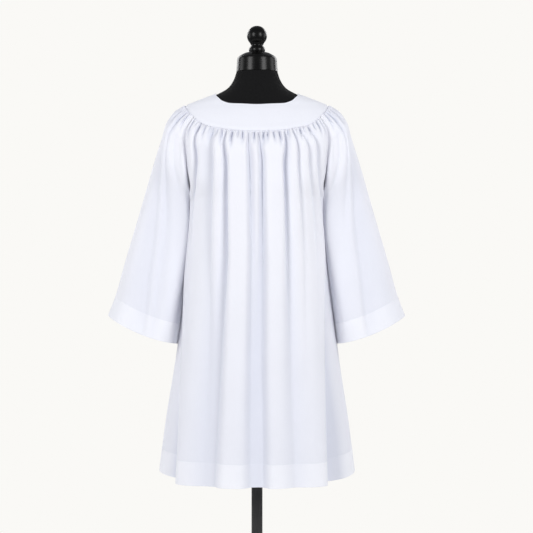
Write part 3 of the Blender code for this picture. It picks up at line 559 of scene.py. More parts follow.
def side_tuck(height):
    """How far the side seam lies in at a height: nothing at the underarm, more below it."""
    return SIDE_TUCK * smooth((SIDE_TUCK_TOP - height) / SIDE_TUCK_RUN)


def hem_height(angle):
    """Level over the back and front, rising close to the sides."""
    fall = HEM_BACK_HEIGHT - HEM_SIDE_HEIGHT
    return HEM_SIDE_HEIGHT + fall * (1.0 - np.abs(np.sin(np.radians(angle))) ** HEM_SQUARENESS)


def body_base(angle, height):
    """Gathered cloth of the body without its folds, hanging from the yoke."""
    drop = yoke_height(angle, "edge_height") - height
    free = smooth((drop - 0.004) / 0.075)[..., None]
    on_form = yoke_point(angle, height, LIFT_AT_SEAM + LIFT_BELOW * smooth(drop / 0.03))
    return on_form * (1.0 - free) + ring_point(CLOTH_SECTIONS, angle, height) * free


def fold_depth(folds, points, seam, height, drop):
    """Depth of a table of long folds over a grid of a body panel."""
    x = points[..., 0]
    arc = run_lengths(points, 1)
    fall = smooth((1.30 - height) / 0.80)
    depth = np.zeros_like(height)
    for fold in folds:
        levels = np.array((fold.hem, fold.hip, fold.waist, fold.chest)) * MM
        path = np.interp(height, FOLD_LEVELS, levels)
        near_yoke = 1.0 - smooth(drop / 0.08)
        centre = np.empty_like(height)
        for r in range(len(height)):
            hung = np.interp(path[r], x[r], arc[r])
            sewn = np.interp(fold.seam * MM, seam, arc[r])
            centre[r] = hung + (sewn - hung) * near_yoke[r]
        depths = np.array((fold.d_hem, fold.d_hem * 0.62 + fold.d_waist * 0.38, fold.d_waist,
                           fold.d_chest)) * MM
        deep = np.interp(height, FOLD_LEVELS, depths)
        deep = np.where(drop < 0.08, fold.d_yoke * MM * near_yoke + deep * (1.0 - near_yoke), deep)
        deep = deep * (0.4 + 0.6 * smooth(drop / 0.008))
        narrow = 0.45 + 0.55 * smooth(drop / 0.07)
        left = (fold.left + (fold.low_left - fold.left) * fall) * MM * narrow
        right = (fold.right + (fold.low_right - fold.right) * fall) * MM * narrow
        depth += deep * valley(arc - centre, left, right)
    return depth


def body_rows():
    """Rows of a body panel as (tuck, t, below, doubled)."""
    hem_line = 1.0 - BODY_HEM_DEPTH / (UNDERARM_HEIGHT - HEM_SIDE_HEIGHT)
    step = ROW_STEP / (UNDERARM_HEIGHT - HEM_SIDE_HEIGHT)
    rows = [(0.0050, 0.0, 0.0, 0.0), (0.0020, 0.0, 0.0, 0.0)]
    rows += [(0.0, t, 0.0, 0.0) for t in 0.36 * np.linspace(0.0, 1.0, 34) ** 1.2]
    rows += [(0.0, t, 0.0, 0.0) for t in np.linspace(0.36, 1.0, 23)[1:]]
    rows += [(0.0, 1.0, b, 0.0) for b in np.linspace(0.0, hem_line - 2 * step, 50)[1:]]
    rows += [(0.0, 1.0, hem_line - step, 0.0), (0.0, 1.0, hem_line, 1.0)]
    rows += [(0.0, 1.0, b, 1.0) for b in np.linspace(hem_line + 2 * step, 1.0 - step, 9)]
    rows += [(0.0, 1.0, 1.0, 1.0)]
    return [np.array(column)[:, None] for column in zip(*rows)]


def body_panel(middle, gathers, folds, settings):
    """Grids of a body panel: points, cloth coordinates, where it lies double, how much painted
    shade it has, and the distance from its row of stitches.  The front is worked out mirrored."""
    angles, seam = even_angles(middle - YOKE_CORNER, middle + YOKE_CORNER, settings.columns)
    seam = seam - seam[-1] / 2
    tuck, t, below, doubled = body_rows()
    top_angle = (angles - middle)[None, :]
    edge = seam_angle(t)
    off = top_angle * (edge - math.degrees(SIDE_SEAM_GAP / 2 / UNDERARM_RADIUS)) / YOKE_CORNER
    facing = -1.0 if middle else 1.0
    angle = middle + facing * off
    start = middle + facing * top_angle
    edge_height = yoke_height(start, "edge_height")
    top = edge_height - SEAM_DROP
    sag = UNDERARM_SAG * np.cos(np.radians(off)) ** 2
    height = top + (UNDERARM_HEIGHT - sag - top) * t
    height = height + (hem_height(angle) - height) * below
    base = body_base(angle, height)
    tucked = yoke_point(start + 0.0 * tuck, edge_height + tuck, TUCK_LIFT)
    base = np.where((tuck > 0.0)[..., None], tucked, base)
    normals = grid_normals(base)
    if np.sum(normals[..., 1] * base[..., 1]) < 0.0:
        normals = -normals
    drop = np.maximum(top - height, 0.0)
    from_side = edge - np.abs(off)
    inset = smooth(from_side / 12.0)
    selvedge = smooth((YOKE_CORNER - np.abs(top_angle)) / 3.0)
    puff = PUFF * smooth(drop / 0.005) * (1.0 - smooth((drop - 0.012) / 0.085)) * selvedge
    rise = 8.0 + 7.0 * smooth((t - 0.3) / 0.5)
    puff += RIDGE_LIFT * smooth(drop / 0.05) * smooth(from_side / rise)
    puff -= side_tuck(height) * (1.0 - smooth(from_side / 6.0)) * smooth(below / 0.08)
    arc = run_lengths(base, 1)
    from_edge = np.minimum(arc, arc[:, -1:] - arc)
    beside = np.exp(-((from_edge - BODY_ROLL_PLACE) / BODY_ROLL_WIDTH) ** 2)
    puff += BODY_ROLL * beside * smooth((t - 0.55) / 0.35) * (1.0 - smooth((below - 0.10) / 0.40))
    pinch = gather_depth(gathers, seam[None, :], drop) * selvedge * settings.gathering
    deep = fold_depth(folds, base, seam, height, drop) * inset * settings.folding
    widest = np.exp(-((t - DIP_PLACE) / DIP_RUN) ** 2)
    dip = seam_dip(t, from_edge, BODY_DIP_WIDTH, 0.002 + 0.013 * widest)
    dip = dip * (1.0 - smooth(below / 0.10))
    dip *= 1.0 + 0.8 * widest
    out = np.where(tuck > 0.0, 0.0, puff - pinch - deep)
    inward = unit(base * (-1.0, -1.0, 0.0))
    points = base + normals * out[..., None] + inward * dip[..., None]
    points = hold_off(points, FORM_SECTIONS, LEAST_LIFT)
    points = np.where((tuck > 0.0)[..., None], base, points)
    points[..., 2] += 0.20 * deep * smooth((below - 0.5) / 0.5)
    flat_width = run_lengths(points, 1)[-12, -1]
    down = run_lengths(points, 0).mean(axis=1, keepdims=True)
    cloth = point(np.linspace(0.0, flat_width, len(seam))[None, :], down, 0.0)[..., :2]
    stitch = down - down[np.argmax(doubled > 0.5)] - HEM_STITCH + 0.0 * height
    # painted shade of the long folds, fading towards the hem near the sides
    shaded = deep * (1.0 - smooth(below / 0.5) * (1.0 - smooth((from_side - 16.0) / 10.0)))
    # painted shade: single cloth greyer, more so towards the bottom
    single_cloth_shade = BODY_PAINTED_SHADE * smooth((1.15 - height) / 0.65) * (1.0 - doubled)
    shade = shade_share(pinch, shaded, single_cloth_shade)
    return points, cloth, np.broadcast_to(doubled, height.shape), shade, stitch


# ---------------------------------------------------------------- a sleeve's cloth
def sleeve_base(place, along):
    """Right sleeve without its folds: place goes round the ring, along from yoke to hem."""
    t = np.minimum(along / SLEEVE_UNDERARM, 1.0)
    front = place > 0.5
    forward = np.where(front, 1.0, -1.0)
    part = np.where(front, 1.0 - place, place) * 2.0
    opening = np.radians(read_off(SLEEVE_RINGS, "along", along, "opening"))
    upper = along < SLEEVE_UNDERARM
    lapped = seam_angle(t) - SEAM_LAP * (1.0 - t)
    angle = np.where(upper, np.where(front, 180.0 - lapped, lapped), 90.0)
    run = np.clip((along - SLEEVE_UNDERARM) / (1.0 - SLEEVE_UNDERARM), 0.0, 1.0)
    low_height = UNDERARM_HEIGHT + (SLEEVE_INNER_HEM - UNDERARM_HEIGHT) * run
    seam_z = np.broadcast_to(seam_height(t), angle.shape)
    low = ring_point(CLOTH_SECTIONS, angle, np.broadcast_to(low_height, angle.shape))
    low[..., 0] += SLEEVE_CLEARANCE - SIDE_TUCK_SHARE * SIDE_TUCK * smooth(run / 0.2)
    seam = np.where(np.broadcast_to(upper, angle.shape)[..., None], body_base(angle, seam_z), low)
    turn = np.radians(angle)
    outward = point(np.sin(turn), -np.cos(turn), 0.0)
    backward = point(np.where(front, forward * np.cos(turn), -np.abs(np.cos(turn))),
                     forward * np.sin(turn), 0.0)
    sin_o, cos_o = np.sin(opening)[..., None], np.cos(opening)[..., None]
    start = outward * sin_o + backward * cos_o
    seam = seam + outward * 0.0010 * cos_o
    reach = read_off(SLEEVE_RINGS, "along", along, "reach")
    outer = point(read_off(SLEEVE_RINGS, "along", along, "outer_x"), 0.0,
                  read_off(SLEEVE_RINGS, "along", along, "outer_z"))
    near = seam + start * (reach * (0.45 + 0.55 * t))[..., None]
    crease = np.radians(read_off(SLEEVE_RINGS, "along", along, "crease"))
    inward = unit(point(seam[..., 0] - outer[..., 0], 0.0, seam[..., 2] - outer[..., 2]))
    sideways = point(0.0, forward, 0.0) * (reach * np.cos(crease))[..., None]
    far = outer + inward * (reach * np.sin(crease))[..., None] + sideways
    part = part[..., None]
    rest = 1.0 - part
    ring = (seam * rest ** 3 + near * 3 * rest ** 2 * part + far * 3 * rest * part ** 2
            + outer * part ** 3)
    middle = (seam + 3.0 * near + 3.0 * far)[..., 1] / 8.0
    inner = part[..., 0] < 0.5
    side = np.where(inner, seam[..., 1], 0.0)
    square = np.where(inner, read_off(SLEEVE_RINGS, "along", along, "inner"),
                      read_off(SLEEVE_RINGS, "along", along, "outer"))
    share = np.clip((ring[..., 1] - side) / (middle - side), 0.0, 1.0)
    ring[..., 1] = side + (middle - side) * (1.0 - (1.0 - share) ** square)
    across = (ring[..., 0] - seam[..., 0]) / (outer[..., 0] - seam[..., 0])
    across = np.clip(across, 0.0, 1.0)
    level = seam[..., 2] + (outer[..., 2] - seam[..., 2]) * across
    ring[..., 2] += (level - ring[..., 2]) * smooth((along - 0.25) / 0.5)
    ring[..., 2] -= SLEEVE_HEM_SAG * 4.0 * across * (1.0 - across) * along ** 3
    return ring


def sleeve_rows():
    """Rows of a sleeve as (tuck, along, doubled)."""
    hem_line = 1.0 - SLEEVE_HEM_DEPTH / SLEEVE_LENGTH
    step = ROW_STEP / SLEEVE_LENGTH
    rows = [(0.0050, 0.0, 0.0), (0.0020, 0.0, 0.0)]
    rows += [(0.0, a, 0.0) for a in np.linspace(0.0, 0.11, 30)]
    rows += [(0.0, a, 0.0) for a in np.linspace(0.11, SLEEVE_UNDERARM, 36)[1:]]
    rows += [(0.0, a, 0.0) for a in np.linspace(SLEEVE_UNDERARM, hem_line - 2 * step, 46)[1:]]
    rows += [(0.0, hem_line - step, 0.0), (0.0, hem_line, 1.0)]
    rows += [(0.0, a, 1.0) for a in np.linspace(hem_line + 2 * step, 1.0 - step, 8)]
    rows += [(0.0, 1.0, 1.0)]
    return [np.array(column)[:, None] for column in zip(*rows)]


def sleeve_panel(side, folds, settings):
    """Grids of a sleeve as body_panel gives them, and the rows whose two ends are sewn."""
    count = SLEEVE_COLUMNS
    angles, seam = even_angles(YOKE_CORNER + 0.3, 180.0 - YOKE_CORNER - 0.3, count)
    tuck, along, doubled = sleeve_rows()
    place = np.linspace(0.0, 1.0, count + 1)[None, :]
    ones = np.ones_like(place)
    base = sleeve_base(place + 0.0 * along, along * ones)
    edge_height = yoke_height(angles, "edge_height")
    top = yoke_point(angles, edge_height - SEAM_DROP, LIFT_AT_SEAM)
    hold = (1.0 - smooth(along / SLEEVE_TAKE_OFF))[..., None]
    base = base + (top - sleeve_base(place, 0.0 * place)) * hold
    ring = run_lengths(base, 1)[:, -1:]
    from_seam = np.minimum(place, 1.0 - place) * ring
    free = smooth((from_seam - 0.004) / 0.05) * smooth((along - 0.12) / 0.1)
    free = (free * smooth((0.85 - along) / 0.2))[1:-1, :, None]
    for _ in range(SLEEVE_EASING):
        eased = (base[:-2] + 2.0 * base[1:-1] + base[2:]) / 4.0
        base[1:-1] += (eased - base[1:-1]) * free
    away = smooth(from_seam / 0.030)
    clear = SLEEVE_CLEARANCE - SIDE_TUCK_SHARE * side_tuck(base[..., 2]) * (1.0 - away)
    clear = clear + 0.003 * away
    rested = hold_off(base, CLOTH_SECTIONS, clear)
    base = np.where((along > SLEEVE_UNDERARM)[..., None], rested, base)
    tucked = yoke_point(angles + 0.0 * tuck, edge_height + tuck, TUCK_LIFT)
    base = np.where((tuck > 0.0)[..., None], tucked, base)
    normals = grid_normals(base)
    centre = base.mean(axis=1, keepdims=True)
    if np.sum(normals * (base - centre)) < 0.0:
        normals = -normals
    drop = np.broadcast_to(along * SLEEVE_LENGTH, base.shape[:2])
    selvedge = smooth(from_seam / 0.012)
    puff = 0.8 * PUFF * smooth(drop / 0.005) * (1.0 - smooth((drop - 0.012) / 0.10)) * selvedge
    beside = np.exp(-((from_seam - SLEEVE_ROLL_PLACE) / SLEEVE_ROLL_WIDTH) ** 2)
    faded = 1.0 - 0.6 * smooth((along - 0.55) / 0.3)
    puff += SLEEVE_ROLL * beside * smooth((along - 0.05) / 0.15) * faded
    pinch = gather_depth(SLEEVE_GATHERS, seam[None, :], drop) * selvedge * settings.gathering
    deep = np.zeros_like(drop)
    for fold in folds:
        line = np.interp(along, (0.0, SLEEVE_UNDERARM, 1.0), (fold.top, fold.middle, fold.hem))
        run = smooth((along - fold.start) / 0.10)
        run = run * (1.0 - smooth((along - fold.end + 0.25) / 0.25))
        far = smooth((along - fold.start) / max(min(fold.end, 1.0) - fold.start, 0.1))
        strength = (fold.d_start + (fold.d_end - fold.d_start) * far) * MM * run
        spread = 0.55 + 0.45 * smooth(along / 0.3) + 0.35 * along
        deep += strength * valley((place - line) * ring, fold.back * MM * spread,
                                  fold.front * MM * spread)
    deep *= smooth(from_seam / 0.030) * settings.folding
    t = np.minimum(along / SLEEVE_UNDERARM, 1.0)
    dip = seam_dip(t, from_seam, SLEEVE_DIP_WIDTH, 0.0006) + 0.0010 * (from_seam < 0.002)
    dip = dip * (tuck <= 0.0)
    dip = dip * (1.0 - smooth((along - SLEEVE_UNDERARM) / 0.10))
    out = np.where(tuck > 0.0, 0.0, puff - pinch - deep)
    inward = unit(base * (-1.0, -1.0, 0.0))
    points = base + normals * out[..., None] + inward * dip[..., None]
    near_form = (along < 0.16)[..., None]
    held = hold_off(points, FORM_SECTIONS, LEAST_LIFT)
    points = np.where(near_form & (tuck <= 0.0)[..., None], held, points)
    points[..., 0] *= side
    flat_width = run_lengths(points, 1)[-4, -1]
    down = run_lengths(points, 0).mean(axis=1, keepdims=True)
    cloth = point(np.linspace(0.0, flat_width, count + 1)[None, :], down, 0.0)[..., :2]
    welded = (along >= SLEEVE_UNDERARM - 1e-9)[:, 0]
    stitch = down - down[np.argmax(doubled > 0.5)] - HEM_STITCH + 0.0 * drop
    # painted shade: single cloth greyer along the arm, away from the outer edge, with the shade in
    # its gathers and folds
    off_edge = smooth((np.abs(place - 0.5) - 0.05) / 0.10)
    single_cloth_shade = SLEEVE_PAINTED_SHADE * off_edge * smooth((along - 0.1) / 0.3)
    shade = shade_share(pinch, deep, single_cloth_shade * (1.0 - doubled))
    return points, cloth, np.broadcast_to(doubled, drop.shape), shade, stitch, welded


# ---------------------------------------------------------------- meshes
def add_piece(name, bm, materials, node):
    """Make an object of a bmesh, in place of a CAD node."""
    mesh = bpy.data.meshes.new(name)
    bm.to_mesh(mesh)
    bm.free()
    old = bpy.data.objects.get(name)
    if old is not None:
        bpy.data.objects.remove(old, do_unlink=True)
    obj = bpy.data.objects.new(name, mesh)
    bpy.context.scene.collection.objects.link(obj)
    for material in materials:
        mesh.materials.append(material)
    mesh.shade_smooth()
    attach(obj, BODY)
    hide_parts(node)
    return obj


def new_grid(points):
    """Flat mesh with as many rows and columns as a grid of points."""
    rows, columns = points.shape[:2]
    bm = bmesh.new()
    bmesh.ops.create_grid(bm, x_segments=columns - 1, y_segments=rows - 1, size=0.5)
    return bm


def place_grid(bm, points):
    """Move a flat mesh's vertices to a grid's points, and tell each one's row and column."""
    rows, columns = points.shape[:2]
    spots = {}
    for vert in bm.verts:
        row, column = (0.5 - vert.co.y) * (rows - 1), (vert.co.x + 0.5) * (columns - 1)
        spots[vert] = (round(row), round(column))
        vert.co = points[spots[vert]]
    return spots


def merge_close(bm, verts):
    bmesh.ops.remove_doubles(bm, verts=verts, dist=MERGE_DISTANCE)


def mark_sharp(bm, degrees):
    for edge in bm.edges:
        edge.smooth = not (edge.is_manifold and edge.calc_face_angle() > math.radians(degrees))


def make_sheet(name, grid, outward, material, node, wall, hem_wall=None, welded=None):
    """Sheet of cloth through a grid of points, with a wall and its cloth coordinates."""
    points, cloth, *shares = grid
    columns = points.shape[1]
    bm = new_grid(points)
    uv_layer = bm.loops.layers.uv.new("Cloth")
    # the crease layer carries the painted shade
    layers = [bm.verts.layers.float.new(kind) for kind in ("doubled", "crease", "stitch")]
    spots = place_grid(bm, points)
    for vert, spot in spots.items():
        for layer, share in zip(layers, shares):
            vert[layer] = share[spot]
    for face in bm.faces:
        for loop in face.loops:
            loop[uv_layer].uv = cloth[spots[loop.vert]]
    if welded is not None:
        edge = [v for v, (r, c) in spots.items() if welded[r] and c in (0, columns - 1)]
        merge_close(bm, edge)
    bm.normal_update()
    if sum(face.normal.dot(outward(face.calc_center_median())) for face in bm.faces) < 0.0:
        bmesh.ops.reverse_faces(bm, faces=bm.faces)
    bm.verts.index_update()
    hem = [vert.index for vert in bm.verts if vert[layers[0]] > 0.5]
    obj = add_piece(name, bm, [material], node)
    solidify = obj.modifiers.new("Wall", "SOLIDIFY")
    solidify.offset = 0.0
    solidify.thickness = wall
    solidify.use_quality_normals = True
    if hem_wall:
        group = obj.vertex_groups.new(name="Hem")
        group.add(hem, 1.0, "REPLACE")
        solidify.vertex_group = group.name
        solidify.thickness = hem_wall
        solidify.thickness_vertex_group = wall / hem_wall
    return obj


def from_axis(centre):
    """Direction away from the figure's axis."""
    away = centre.copy()
    away.z = 0.0
    return away


def spin_piece(name, profile, steps, material, node):
    """Piece turned about the upright axis from a profile of (radius, height)."""
    bm = bmesh.new()
    verts = [bm.verts.new((radius, 0.0, height)) for radius, height in profile]
    edges = [bm.edges.new(pair) for pair in zip(verts, verts[1:])]
    bmesh.ops.spin(bm, geom=verts + edges, cent=(0, 0, 0), axis=(0, 0, 1), angle=2 * math.pi,
                   steps=steps, use_merge=True)
    merge_close(bm, bm.verts)
    open_edges = [edge for edge in bm.edges if edge.is_boundary]
    if open_edges:
        bmesh.ops.holes_fill(bm, edges=open_edges, sides=0)
    bmesh.ops.recalc_face_normals(bm, faces=bm.faces)
    mark_sharp(bm, 50)
    return add_piece(name, bm, [material], node)


# ---------------------------------------------------------------- materials
class Nodes:
    """Short way to add shader nodes to a material."""

    def __init__(self, name):
        self.material = bpy.data.materials.new(name)
        self.material.use_nodes = True
        self.tree = self.material.node_tree
        self.shader = self.tree.nodes["Principled BSDF"]
        self.column = 0

    def add(self, kind, inputs=(), **settings):
        node = self.tree.nodes.new(kind)
        self.column -= 1
        node.location = (self.column * 180, 200 * math.sin(self.column))
        for key, value in settings.items():
            setattr(node, key, value)
        for key, value in dict(inputs).items():
            if isinstance(value, bpy.types.NodeSocket):
                self.tree.links.new(value, node.inputs[key])
            else:
                node.inputs[key].default_value = value
        return node

    def math(self, operation, a, b=0.0):
        return self.add("ShaderNodeMath", {0: a, 1: b}, operation=operation).outputs[0]

    def wave(self, value, per_unit):
        return self.math("SINE", self.math("MULTIPLY", value, per_unit))

    def noise(self, vector, scale, detail=2.0):
        node = self.add("ShaderNodeTexNoise", {"Vector": vector, "Scale": scale, "Detail": detail})
        return node.outputs["Fac"]

    def attribute(self, name):
        return self.add("ShaderNodeAttribute", attribute_name=name).outputs["Fac"]

    def object_place(self):
        return self.add("ShaderNodeTexCoord").outputs["Object"]

    def axes(self, vector):
        return self.add("ShaderNodeSeparateXYZ", {"Vector": vector}).outputs

    def mix(self, factor, a, b):
        node = self.add("ShaderNodeMix", {"Factor": factor}, data_type="RGBA")
        for key, value in (("A", a), ("B", b)):
            socket = next(s for s in node.inputs if s.name == key and s.type == "RGBA")
            if isinstance(value, bpy.types.NodeSocket):
                self.tree.links.new(value, socket)
            else:
                socket.default_value = value
        return next(s for s in node.outputs if s.type == "RGBA")

    def set(self, **values):
        for key, value in values.items():
            socket = self.shader.inputs[key.replace("_", " ")]
            if isinstance(value, bpy.types.NodeSocket):
                self.tree.links.new(value, socket)
            else:
                socket.default_value = value

    def bump(self, height, distance, strength=1.0):
        node = self.add("ShaderNodeBump", {"Height": height, "Distance": distance,
                                           "Strength": strength})
        self.set(Normal=node.outputs["Normal"])


def plain(colour, factor=1.0):
    return (*(factor * c for c in colour), 1.0)


def cloth_material(settings):
    """White plain-woven cloth, whiter where it lies double, with painted shade down in its gathers
    and folds, on single cloth and on the yoke.
    """
    name = "White cloth"
    if name in bpy.data.materials:
        return bpy.data.materials[name]
    n = Nodes(name)
    uv = n.add("ShaderNodeUVMap", uv_map="Cloth").outputs["UV"]
    axes = n.axes(uv)
    pitch = 2 * math.pi / THREAD_PITCH
    weave = n.math("MULTIPLY", n.wave(axes["X"], pitch), n.wave(axes["Y"], pitch))
    stretched = n.add("ShaderNodeMapping", {"Vector": uv, "Scale": (900.0, 60.0, 1.0)})
    slub = n.noise(stretched.outputs["Vector"], 1.0)
    broad = n.noise(uv, 9.0, 3.0)
    base = n.mix(n.attribute("doubled"), plain(settings.colour), plain(settings.doubled_colour))
    # painted shade: the crease attribute darkens and blues the cloth in its gathers and folds, on
    # single cloth and on the yoke
    base = n.mix(n.attribute("crease"), base, plain(settings.painted_shade_colour))
    tint = n.math("ADD", n.math("MULTIPLY", slub, 0.05), n.math("MULTIPLY", broad, 0.05))
    shade = n.math("SUBTRACT", 1.05, tint)
    colour = n.add("ShaderNodeVectorMath", {0: base, 1: shade}, operation="MULTIPLY")
    n.set(Base_Color=colour.outputs["Vector"], Roughness=0.82, Sheen_Weight=0.15,
          Sheen_Roughness=0.5, Specular_IOR_Level=0.25)
    off = n.math("ABSOLUTE", n.attribute("stitch"))
    on_line = n.math("LESS_THAN", off, STITCH_HALF_WIDTH)
    place = n.math("FRACT", n.math("DIVIDE", axes["X"], STITCH_PITCH))
    thread = n.math("MULTIPLY", on_line, n.math("LESS_THAN", place, STITCH_SHARE))
    groove = n.math("LESS_THAN", off, GROOVE_HALF_WIDTH)
    height = n.math("ADD", weave, n.math("MULTIPLY", slub, 1.5))
    height = n.math("ADD", height, n.math("MULTIPLY", thread, 7.0))
    height = n.math("SUBTRACT", height, n.math("MULTIPLY", groove, 4.0))
    n.bump(height, 0.00006, 0.35)
    return n.material


def jersey_material(settings):
    """Fine black stretch jersey."""
    n = Nodes("Black jersey")
    where = n.object_place()
    axes = n.axes(where)
    wale = n.wave(n.math("ARCTAN2", axes["X"], axes["Y"]), WALES)
    knit = n.math("MULTIPLY", wale, n.wave(axes["Z"], 2 * math.pi / COURSE_PITCH))
    lint = n.noise(where, 260.0, 3.0)
    colour = n.mix(lint, plain(settings.jersey_colour), plain(settings.jersey_colour, 2.2))
    n.set(Base_Color=colour, Roughness=0.92, Sheen_Weight=0.02, Specular_IOR_Level=0.1)
    n.bump(n.math("ADD", knit, lint), 0.0001, 0.6)
    return n.material


def lacquer_material(settings):
    """Black lacquered wood, with a faint ripple left by the lathe."""
    n = Nodes("Black lacquer")
    where = n.object_place()
    cloudy = n.noise(where, 55.0, 4.0)
    rough = n.math("ADD", 0.22, n.math("MULTIPLY", cloudy, 0.10))
    rings = n.wave(n.axes(where)["Z"], 2 * math.pi / LATHE_PITCH)
    colour = n.mix(cloudy, plain(settings.lacquer_colour), plain(settings.lacquer_colour, 1.8))
    n.set(Base_Color=colour, Roughness=rough, Specular_IOR_Level=0.2)
    n.bump(n.math("ADD", n.math("MULTIPLY", rings, 0.3), cloudy), 0.00004, 0.4)
    return n.material


def steel_material(settings):
    """Satin black paint on steel, with a fine orange peel."""
    n = Nodes("Black painted steel")
    where = n.object_place()
    peel = n.noise(where, 700.0)
    worn = n.noise(where, 14.0, 5.0)
    colour = n.mix(worn, plain(settings.steel_colour), plain(settings.steel_colour, 1.7))
    n.set(Base_Color=colour, Roughness=n.math("ADD", 0.34, n.math("MULTIPLY", worn, 0.16)))
    n.bump(peel, 0.00008, 0.35)
    return n.material


# ---------------------------------------------------------------- operators
class SURPLICE_OT_yoke(bpy.types.Operator):
    """Make the round yoke, in a back and a front piece"""
    bl_idname = "surplice.yoke"
    bl_label = "Yoke"

    def execute(self, context):
        settings = context.scene.surplice_cloth
        material = cloth_material(settings)
        pieces = (("yoke_back", -SHOULDER_SEAM, SHOULDER_SEAM, (0.43, 0.18), 0.038),
                  ("yoke_front", SHOULDER_SEAM, 360.0 - SHOULDER_SEAM, (0.45, 0.16), 0.037))
        for name, first, last, flat, area in pieces:
            angles, along = even_angles(first + 0.05, last - 0.05, YOKE_COLUMNS)
            share = np.concatenate(([0.0, 0.008], np.linspace(0.04, 0.96, 26), [0.992, 1.0]))
            share = share[:, None]
            neck = yoke_height(angles, "neck_height")
            edge = yoke_height(angles, "edge_height")
            height = neck + (edge - neck) * share
            from_edge = (1.0 - share) * YOKE_DEPTH
            pucker = np.cos(along * 2 * math.pi / PUCKER_PITCH) * np.exp(-from_edge / 0.006)
            bulge = YOKE_EDGE_ROLL * np.exp(-((from_edge - 0.007) / 0.006) ** 2)
            stitch = PUCKER * np.exp(-((from_edge - YOKE_STITCH) / 0.0009) ** 2)
            stitch += PUCKER * np.exp(-((share * YOKE_DEPTH - NECK_STITCH) / 0.0010) ** 2)
            ends = np.minimum(along, along[-1] - along)
            rolled = YOKE_SEAM_DIP * np.exp(-ends / 0.0025)
            lift = YOKE_LIFT + PUCKER * pucker + bulge - stitch - rolled
            points = yoke_point(angles + 0.0 * share, height, lift)
            cloth = point(along + 0.0 * share, share * YOKE_CLOTH_DEPTH, 0.0)[..., :2]
            whole = np.ones(points.shape[:2])
            off_stitch = np.where(share < 0.5, share * YOKE_DEPTH - NECK_STITCH,
                                  from_edge - YOKE_STITCH)
            grid = (points, cloth, whole, YOKE_SHADE * whole, off_stitch * whole)
            obj = make_sheet(f"{name}_cloth", grid, from_axis, material, name, settings.yoke_wall)
        return {"FINISHED"}


class SURPLICE_OT_body(bpy.types.Operator):
    """Make the gathered back and front, hanging from the yoke"""
    bl_idname = "surplice.body"
    bl_label = "Back and front"

    def execute(self, context):
        settings = context.scene.surplice_cloth
        material = cloth_material(settings)
        panels = (("back", 0.0, BACK_GATHERS, BACK_FOLDS, "yoke_back", (0.79, 0.93), 0.57),
                  ("front", 180.0, FRONT_GATHERS, FRONT_FOLDS, "yoke_front", (0.81, 0.93), 0.56))
        for name, middle, gathers, folds, yoke, flat, area in panels:
            grid = body_panel(middle, gathers, folds, settings)
            obj = make_sheet(f"{name}_cloth", grid, from_axis, material, name, settings.wall,
                             settings.hem_wall)
        return {"FINISHED"}


class SURPLICE_OT_sleeves(bpy.types.Operator):
    """Make the two wide sleeves"""
    bl_idname = "surplice.sleeves"
    bl_label = "Sleeves"

    def execute(self, context):
        settings = context.scene.surplice_cloth
        material = cloth_material(settings)
        for name, side, folds in (("sleeve_right", 1.0, RIGHT_SLEEVE_FOLDS),
                                  ("sleeve_left", -1.0, LEFT_SLEEVE_FOLDS)):
            *grid, welded = sleeve_panel(side, folds, settings)
            middle = grid[0].mean(axis=(0, 1))

            def outward(centre, middle_x=float(middle[0])):
                away = from_axis(centre)
                away.x -= middle_x
                return away

            obj = make_sheet(f"{name}_cloth", grid, outward, material, name, settings.wall,
                             settings.hem_wall, welded)
        return {"FINISHED"}


class SURPLICE_OT_form(bpy.types.Operator):
    """Make the dress form: jersey torso, turned cap and finial, pole and base"""
    bl_idname = "surplice.form"
    bl_label = "Dress form"

    def execute(self, context):
        settings = context.scene.surplice_form
        jersey = jersey_material(settings)
        lacquer = lacquer_material(settings)
        steel = steel_material(settings)
        steps = settings.turning_steps
        angles = np.linspace(0.0, 360.0, TORSO_COLUMNS + 1)[None, :]
        low, high = FORM_SECTIONS[0].height, FORM_SECTIONS[-1].height
        heights = np.concatenate(([low, low + 0.0006, low + 0.0018],
                                  np.linspace(low + 0.004, 1.40, 48),
                                  np.linspace(1.404, high - 0.0006, 34), [high]))[::-1, None]
        inset = 0.0008 + 0.0030 * (1.0 - np.clip((heights - low) / 0.003, 0.0, 1.0) ** 0.5)
        inset = inset + 0.0006 * np.clip(1.0 - (high - heights) / 0.0006, 0.0, 1.0)
        groove = np.zeros_like(angles + heights)
        for line in TORSO_SEAMS:
            groove += TORSO_SEAM_DEPTH * np.exp(-((angles - line) * 0.0022 / 0.0016) ** 2)
        points = ring_point(FORM_SECTIONS, angles + 0.0 * heights, heights + 0.0 * angles, inset)
        points[..., :2] *= 1.0 - (groove / 0.10)[..., None]
        bm = new_grid(points)
        place_grid(bm, points)
        merge_close(bm, bm.verts)
        bmesh.ops.holes_fill(bm, edges=[e for e in bm.edges if e.is_boundary], sides=0)
        bmesh.ops.recalc_face_normals(bm, faces=bm.faces)
        mark_sharp(bm, 55)
        add_piece("torso", bm, [jersey], "form_torso")

        ball = [(BALL_RADIUS * math.sin(a), BALL_HEIGHT + BALL_RADIUS * math.cos(a))
                for a in np.linspace(0.01, math.pi * 0.745, 30)]
        spin_piece("neck_cap", CAP_PROFILE, steps, lacquer, "form_neck_cap")
        spin_piece("finial", tuple(ball) + FINIAL_NECK, steps, lacquer, "form_finial")
        spin_piece("base", BASE_PROFILE, steps, steel, "form_base")

        pole_low, pole_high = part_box("form_pole")
        bm = bmesh.new()
        bmesh.ops.create_cone(bm, cap_ends=True, segments=48, radius1=POLE_RADIUS,
                              radius2=POLE_RADIUS, depth=pole_high.z - pole_low.z)
        bmesh.ops.translate(bm, verts=bm.verts, vec=(0.0, 0.0, (pole_high.z + pole_low.z) / 2))
        ends = [e for e in bm.edges if e.calc_face_angle(0.0) > math.radians(60)]
        bmesh.ops.bevel(bm, geom=ends, offset=0.0008, segments=3, profile=0.5, affect="EDGES",
                        material=-1)
        add_piece("pole", bm, [steel], "form_pole")
        return {"FINISHED"}


